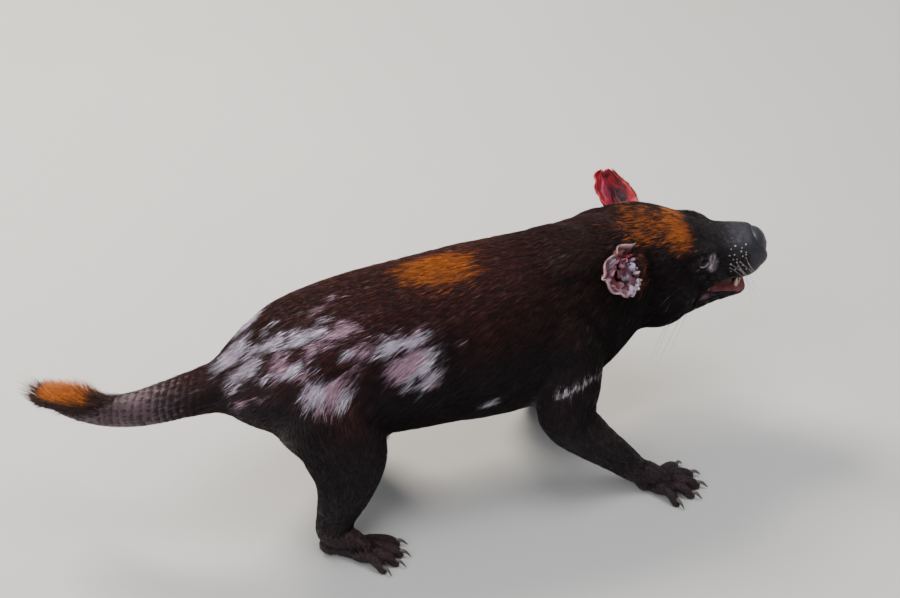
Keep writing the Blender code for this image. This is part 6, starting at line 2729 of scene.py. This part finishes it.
# The first of these is the near black of painted shade deep in each ear's opening
PAINTED_CANAL_SHADE, PALE_FLESH, ROSE = (0.016, 0.007, 0.009), (0.64, 0.54, 0.58), (0.62, 0.27, 0.36)
BLOOD = (0.36, 0.035, 0.045)
EARS = (
    Ear(
        Side.RIGHT, (-162, 70, 46), (-0.50, 0.70, 0.50), (0.62, 0.42, 0.55),
        (
            # The sunken folds' dark tones are painted shade in their hollows
            Fold((0.80, 0.10), (0.30, 0.20), 0, -2.0, (0.13, 0.022, 0.018)),
            Fold((0.86, 0.34), (0.24, 0.26), 0, -1.0, (0.15, 0.030, 0.026)),
            Fold((0.60, 0.14), (0.10, 0.16), 0, 1.2, BLOOD),
            Fold((0.45, 0.18), (0.10, 0.16), 20, 1.8, ROSE),
            Fold((0.62, 0.50), (0.26, 0.20), 0, 1.5, BLUISH),
            Fold((0.30, 0.60), (0.10, 0.20), 10, -1.6, PAINTED_CREASE_SHADE),
            Fold((0.14, 0.74), (0.10, 0.10), 0, -2.0, PAINTED_CREASE_SHADE),
            Fold((0.04, 0.46), (0.06, 0.20), 24, 1.8, ROSE),
            Fold((-0.14, 0.74), (0.10, 0.20), 8, 1.9, ROSE),
            Fold((-0.36, 0.72), (0.08, 0.20), 8, -1.6, (0.10, 0.030, 0.020)),
            Fold((-0.52, 0.70), (0.05, 0.18), 0, 1.4, (0.46, 0.24, 0.22)),
            Fold((-0.62, 0.62), (0.04, 0.18), -6, -1.4, PAINTED_CREASE_SHADE),
            Fold((-0.72, 0.62), (0.05, 0.18), -14, 1.5, MAUVE),
            Fold((-0.22, 0.22), (0.30, 0.10), 8, -4.0, PAINTED_CANAL_SHADE),
            Fold((-0.88, 0.34), (0.16, 0.22), 0, 1.6, (0.46, 0.32, 0.42)),
        ),
        flesh=(0.23, 0.070, 0.092), rim=(0.62, 0.50, 0.53), glow=0.22, trim=(0.30, 0.30, 0.44),
        foot=(0.58, 0.84), crus=6.0, crumple=1.5, wave=2.0,
        lumps=(
            Lump((-4.0, 3.0, 1.2), (19.0, 10.5, 4.6), (0.085, 0.030, 0.038)),
            Lump((-15.0, 6.0, 4.6), (9.0, 7.0, 4.4), (0.12, 0.050, 0.065)),
            Lump((1.5, 1.0, 7.8), (3.8, 3.4, 5.2), BLUISH),
            Lump((-2.6, -1.8, 9.0), (2.6, 2.4, 3.8), MAUVE),
            Lump((-6.3, -2.4, 9.6), (1.3, 1.8, 4.0), PALE_FLESH),
            Lump((-9.0, -3.4, 9.0), (1.8, 2.0, 3.0), (0.12, 0.045, 0.050)),
            Lump((-7.2, 10.4, 0.4), (5.6, 3.0, 2.6), BLUISH, 12),
            Lump((-9.8, 8.6, 4.0), (4.6, 2.6, 1.8), BLUISH, -8),
            Lump((-16.0, 0.0, 10.2), (4.4, 3.2, 1.9), BLUISH),
            Lump((-20.5, 5.0, 9.2), (3.4, 3.0, 2.4), PALE_FLESH),
            Lump((-21.5, 14.0, 5.2), (6.6, 5.4, 4.8), (0.48, 0.33, 0.44)),
            Lump((-12.6, 4.5, 6.4), (2.2, 4.0, 1.4), (0.10, 0.05, 0.06), 20),
            Lump((7.6, -1.0, 9.4), (1.9, 2.2, 4.6), (0.28, 0.16, 0.26)),
            Lump((12.4, 1.6, 9.0), (1.8, 2.2, 5.0), BLOOD),
            Lump((9.4, 6.0, 4.2), (2.4, 2.4, 4.6), ROSE),
            Lump((5.2, 9.6, 1.4), (3.0, 2.4, 2.4), ROSE),
            Lump((-2.0, 15.0, -1.6), (5.2, 2.6, 2.0), (0.20, 0.06, 0.08), -20),
        ),
    ),
    Ear(
        Side.LEFT, (-149, 48.3, 16.5), (-0.16, 0.78, 0.42), (0.50, -0.30, 0.80),
        (
            # Painted sunlight: the thin rear edge glows bright red as if the sun shone through it
            Fold((-0.88, 0.42), (0.16, 0.34), 0, 1.0, (0.80, 0.026, 0.030)),
            Fold((-0.62, 0.55), (0.05, 0.30), 8, -1.6, PAINTED_CREASE_SHADE),
            # Painted shade over the front of the cup
            Fold((0.42, 0.40), (0.50, 0.38), -20, -1.6, (0.024, 0.006, 0.016)),
            Fold((0.10, 0.96), (0.80, 0.12), 0, 0.6, (0.085, 0.006, 0.010)),
            # Painted shade at the top of the front edge
            Fold((0.80, 0.75), (0.22, 0.30), 0, 0.6, (0.10, 0.008, 0.014)),
            # The base's own pale pink, with a painted highlight on it
            Fold((-0.28, 0.16), (0.26, 0.10), 0, 1.4, (0.60, 0.22, 0.26)),
            # Painted highlight in pink on the cup
            Fold((-0.34, 0.55), (0.08, 0.28), -10, 1.6, (0.60, 0.10, 0.18)),
            Fold((-0.05, 0.60), (0.16, 0.26), -14, 1.0, (0.26, 0.040, 0.085)),
        ),
        # Its bright crimson is the ear's own red with painted sunlight shining through it
        flesh=(0.46, 0.014, 0.034), rim=(0.60, 0.040, 0.050), glow=0.5, trim=(0.34, 0.15, 0.95),
        crumple=0.45, wave=0.8, fringe=420,
    ),
)


@dataclass
class FaceSide:
    """The outward-facing skin of one side of the face."""

    places: Array  # its vertices in the head's frame
    normals: Array  # outward directions there

    @classmethod
    def part(cls, skin: Surface, side: int, aside: float, back: float) -> "FaceSide":
        """Finds it on the skin.

        Args:
            skin: The skin in the animal's frame.
            side: 1 on the left and -1 on the right.
            aside: How far out from the head's middle it starts.
            back: How far back it reaches.

        Returns:
            That part of the skin.
        """
        normals = HeadFrame.turn_in(skin.normals())
        head = HeadFrame.into(skin.points)
        own = (head[:, 1] * side > aside) & (head[:, 0] > back) & (normals[:, 1] * side > 0.3)
        return cls(head[own], normals[own])

    def at(self, forward: float, up: float) -> tuple[Array, Array]:
        """Finds the vertex nearest to a spot, seen from the side.

        Args:
            forward: The spot's place along the head.
            up: Its height.

        Returns:
            The vertex and the outward direction there.
        """
        near = np.argmin(np.hypot(self.places[:, 0] - forward, self.places[:, 2] - up))
        return self.places[near], self.normals[near]


CHEEK_HAIRS = (  # forward, up, length, and True for a pale one
    (-98, 4, 34, True), (-104, 0, 30, True), (-92, -34, 56, False), (-100, -38, 62, False),
    (-112, -30, 50, False), (-84, 26, 24, False), (-88, 27, 20, False), (-118, -44, 46, True),
)


@dataclass(frozen=True)
class Whiskers:
    """The whiskers of the muzzle and the cheeks, with the pale spots that they grow from."""

    rows: int = 6  # rows of spots on each side of the muzzle
    per_row: int = 4  # spots in a row
    short_rows: int = 3  # how many of the upper rows have short whiskers
    seed: int = 4

    def spots(self) -> list[tuple[float, float]]:
        """The spots' places forward and up in the head's frame, from the top row down."""
        return [(-24.5 - 5.6 * k - 2.8 * (row % 2), 13.5 - 4.9 * row - 0.4 * k)
                for row in range(self.rows) for k in range(self.per_row)]

    def build(self, skin: Surface) -> None:
        """Sets the spots and the whiskers on the skin.

        Args:
            skin: The surface that they grow from.
        """
        draw = np.random.default_rng(self.seed)
        pale, dark, dots = [], [], []
        for side in (-1, 1):
            muzzle = FaceSide.part(skin, side, 12.0, -70.0)
            cheek = FaceSide.part(skin, side, 30.0, -130.0)
            for number, (forward, up) in enumerate(self.spots()):
                is_long = number >= self.short_rows * self.per_row
                root, normal = muzzle.at(forward + draw.normal(0, 0.9), up + draw.normal(0, 0.8))
                dots.append(self._dot(root, normal, draw.uniform(0.75, 1.05) - 0.008 * (root[0] + 30.0)))
                ahead = draw.uniform(0.05, 0.85)
                way = unit(0.40 * normal + np.array((ahead, 0.1 * side, -0.75 + 0.2 * draw.normal())))
                length = draw.uniform(20, 42) if is_long else draw.uniform(5, 12)
                kind = pale if is_long and draw.random() < 0.8 else dark
                kind.append(self._hair(root, way, length, 0.13, draw))
            for forward, up, length, is_pale in CHEEK_HAIRS:
                root, normal = cheek.at(forward, up)
                way = unit(0.45 * normal + np.array((-0.70, 0.0, -0.60 + 0.15 * draw.normal())))
                (pale if is_pale else dark).append(self._hair(root, way, length, 0.19, draw))
        light = HornFinish("whisker_pale", (0.55, 0.48, 0.45), 0.45, 0.02, 0.2).make()
        deep = HornFinish("whisker_dark", (0.020, 0.013, 0.012), 0.40, 0.02, 0.2).make()
        spot = HornFinish("whisker_root", (0.40, 0.33, 0.36), 0.50, 0.05, 0.3).make()
        finished("whiskers_pale", gathered(pale), light)
        finished("whiskers_dark", gathered(dark), deep)
        finished("whisker_roots", gathered(dots), spot)

    def _hair(self, root: Array, way: Array, length: float, radius: float,
              draw: np.random.Generator) -> Surface:
        """One curved, tapered whisker.

        Args:
            root: Its root in the head's frame.
            way: The way that it leaves the skin.
            length: Its length.
            radius: Its radius at the root.
            draw: The random draws.

        Returns:
            Its surface.
        """
        share = np.linspace(0.0, 1.0, 12)
        sag = np.array((-0.2, 0.0, -1.0)) * draw.uniform(0.05, 0.22) * length
        path = root - way + way * length * share[:, None] + sag * (share**2)[:, None]
        radii = radius * (1.0 - share[:-1]) ** 0.7
        return swept(HeadFrame.out(path), np.maximum(radii, 0.05), 6)

    def _dot(self, root: Array, normal: Array, radius: float) -> Surface:
        """The small pale mound that a whisker grows from."""
        path = np.stack([root - normal * 0.8, root, root + normal * 0.25, root + normal * 0.4])
        return swept(HeadFrame.out(path), radius * np.array((1.0, 1.0, 0.75)), 10)


@dataclass(frozen=True)
class Claws:
    """The claws of one foot."""

    limb: Limb
    radius: float = 2.1

    def build(self) -> None:
        """Makes the claws of the foot as one piece."""
        made = []
        for toe in self.limb.toes:
            base, tip = toe.length - 4.0, toe.length + CLAW_LENGTH - 2.0
            share = np.linspace(0.0, 1.0, 12)
            along = base + (tip - base) * share
            height = 6.8 + 2.6 * np.sin(math.pi * np.minimum(share * 1.15, 1.0)) - 4.8 * share**2
            path = self.limb.toe_place(toe, np.stack([along, 0 * along, height], axis=1))
            radii = self.radius * (1.0 - share[:-1] ** 1.5) ** 0.8
            made.append(swept(path, radii, 12, 1.35))
        horn = HornFinish("claw_horn", (0.105, 0.078, 0.066), 0.38, 0.06, 0.45).make()
        finished(f"claws_{self.limb.foot_name}", gathered(made), horn)


# --- Studio ---
@dataclass(frozen=True)
class Lamp:
    """A soft rectangular lamp."""

    name: str
    azimuth: float  # degrees round the animal, 0 from -Y and 90 from +X
    elevation: float  # degrees above the floor
    distance: float  # metres from the middle of the animal
    size: float  # its side in metres
    power: float  # watts
    colour: Triple


@dataclass(frozen=True)
class Studio:
    """The floor, the lights and the camera."""

    target: Triple = (0.056, 0.070, 0.180)
    azimuth: float = -20.0
    elevation: float = 36.0
    distance: float = 2.0
    lens: float = 76.0
    sensor: float = 36.0
    floor_half: float = 6.0
    lamps: tuple[Lamp, ...] = (
        Lamp("key", 205.0, 50.0, 2.4, 0.9, 85.0, (1.0, 0.94, 0.86)),
        Lamp("fill", -55.0, 42.0, 2.8, 1.8, 30.0, (0.92, 0.95, 1.0)),
        Lamp("top", 30.0, 80.0, 2.6, 1.4, 38.0, (0.95, 0.97, 1.0)),
    )
    sky: Triple = (0.80, 0.84, 0.90)
    sky_strength: float = 0.42

    def _station(self, azimuth: float, elevation: float, distance: float) -> Vector:
        """A place round the target.

        Args:
            azimuth: Degrees round the target, 0 from -Y and 90 from +X.
            elevation: Degrees above the floor.
            distance: Metres from the target.

        Returns:
            The place.
        """
        a, e = math.radians(azimuth), math.radians(elevation)
        way = Vector((math.sin(a) * math.cos(e), -math.cos(a) * math.cos(e), math.sin(e)))
        return Vector(self.target) + way * distance

    def _aim(self, obj: bpy.types.Object) -> None:
        """Turns a lamp or camera to the target."""
        way = Vector(self.target) - obj.location
        obj.rotation_euler = way.to_track_quat("-Z", "Y").to_euler()

    def build(self) -> None:
        """Sets up the floor, the sky, the lamps and the camera."""
        half = self.floor_half
        corners = np.array(((-half, -half, 0), (half, -half, 0), (half, half, 0), (-half, half, 0)), float)
        mesh = Surface(corners, np.array(((0, 1, 2, 3),))).to_mesh("floor")
        mesh.materials.append(FloorFinish().make())
        floor = linked("floor", mesh)
        world = bpy.data.worlds.new("sky")
        world.use_nodes = True
        background = world.node_tree.nodes["Background"]
        background.inputs["Color"].default_value = (*self.sky, 1.0)
        background.inputs["Strength"].default_value = self.sky_strength
        bpy.context.scene.world = world
        for lamp in self.lamps:
            light = bpy.data.lights.new(lamp.name, "AREA")
            light.shape = "SQUARE"
            light.size = lamp.size
            light.energy = lamp.power
            light.color = lamp.colour
            holder = linked(lamp.name, light)
            holder.location = self._station(lamp.azimuth, lamp.elevation, lamp.distance)
            self._aim(holder)
        lens = bpy.data.cameras.new("camera")
        lens.lens = self.lens
        lens.sensor_width = self.sensor
        camera = linked("camera", lens)
        camera.location = self._station(self.azimuth, self.elevation, self.distance)
        self._aim(camera)
        bpy.context.scene.camera = camera
        LOG.info("studio: %d lamps and a camera", len(self.lamps))


def main() -> None:
    """Builds the whole animal and its studio."""
    logging.basicConfig(level=logging.INFO, format="%(message)s")
    Studio().build()
    markings = Markings()
    skin = Skin(Lie(BONES))
    skin.build(markings)
    Coat(skin, markings).build()
    Brush().build()
    for eye in EYES:
        eye.build()
    NosePad().build()
    Mouth().build()
    for ear in EARS:
        ear.build()
    Whiskers().build(skin.surface)
    for limb in LIMBS:
        Claws(limb).build()


if __name__ == "__main__":
    main()
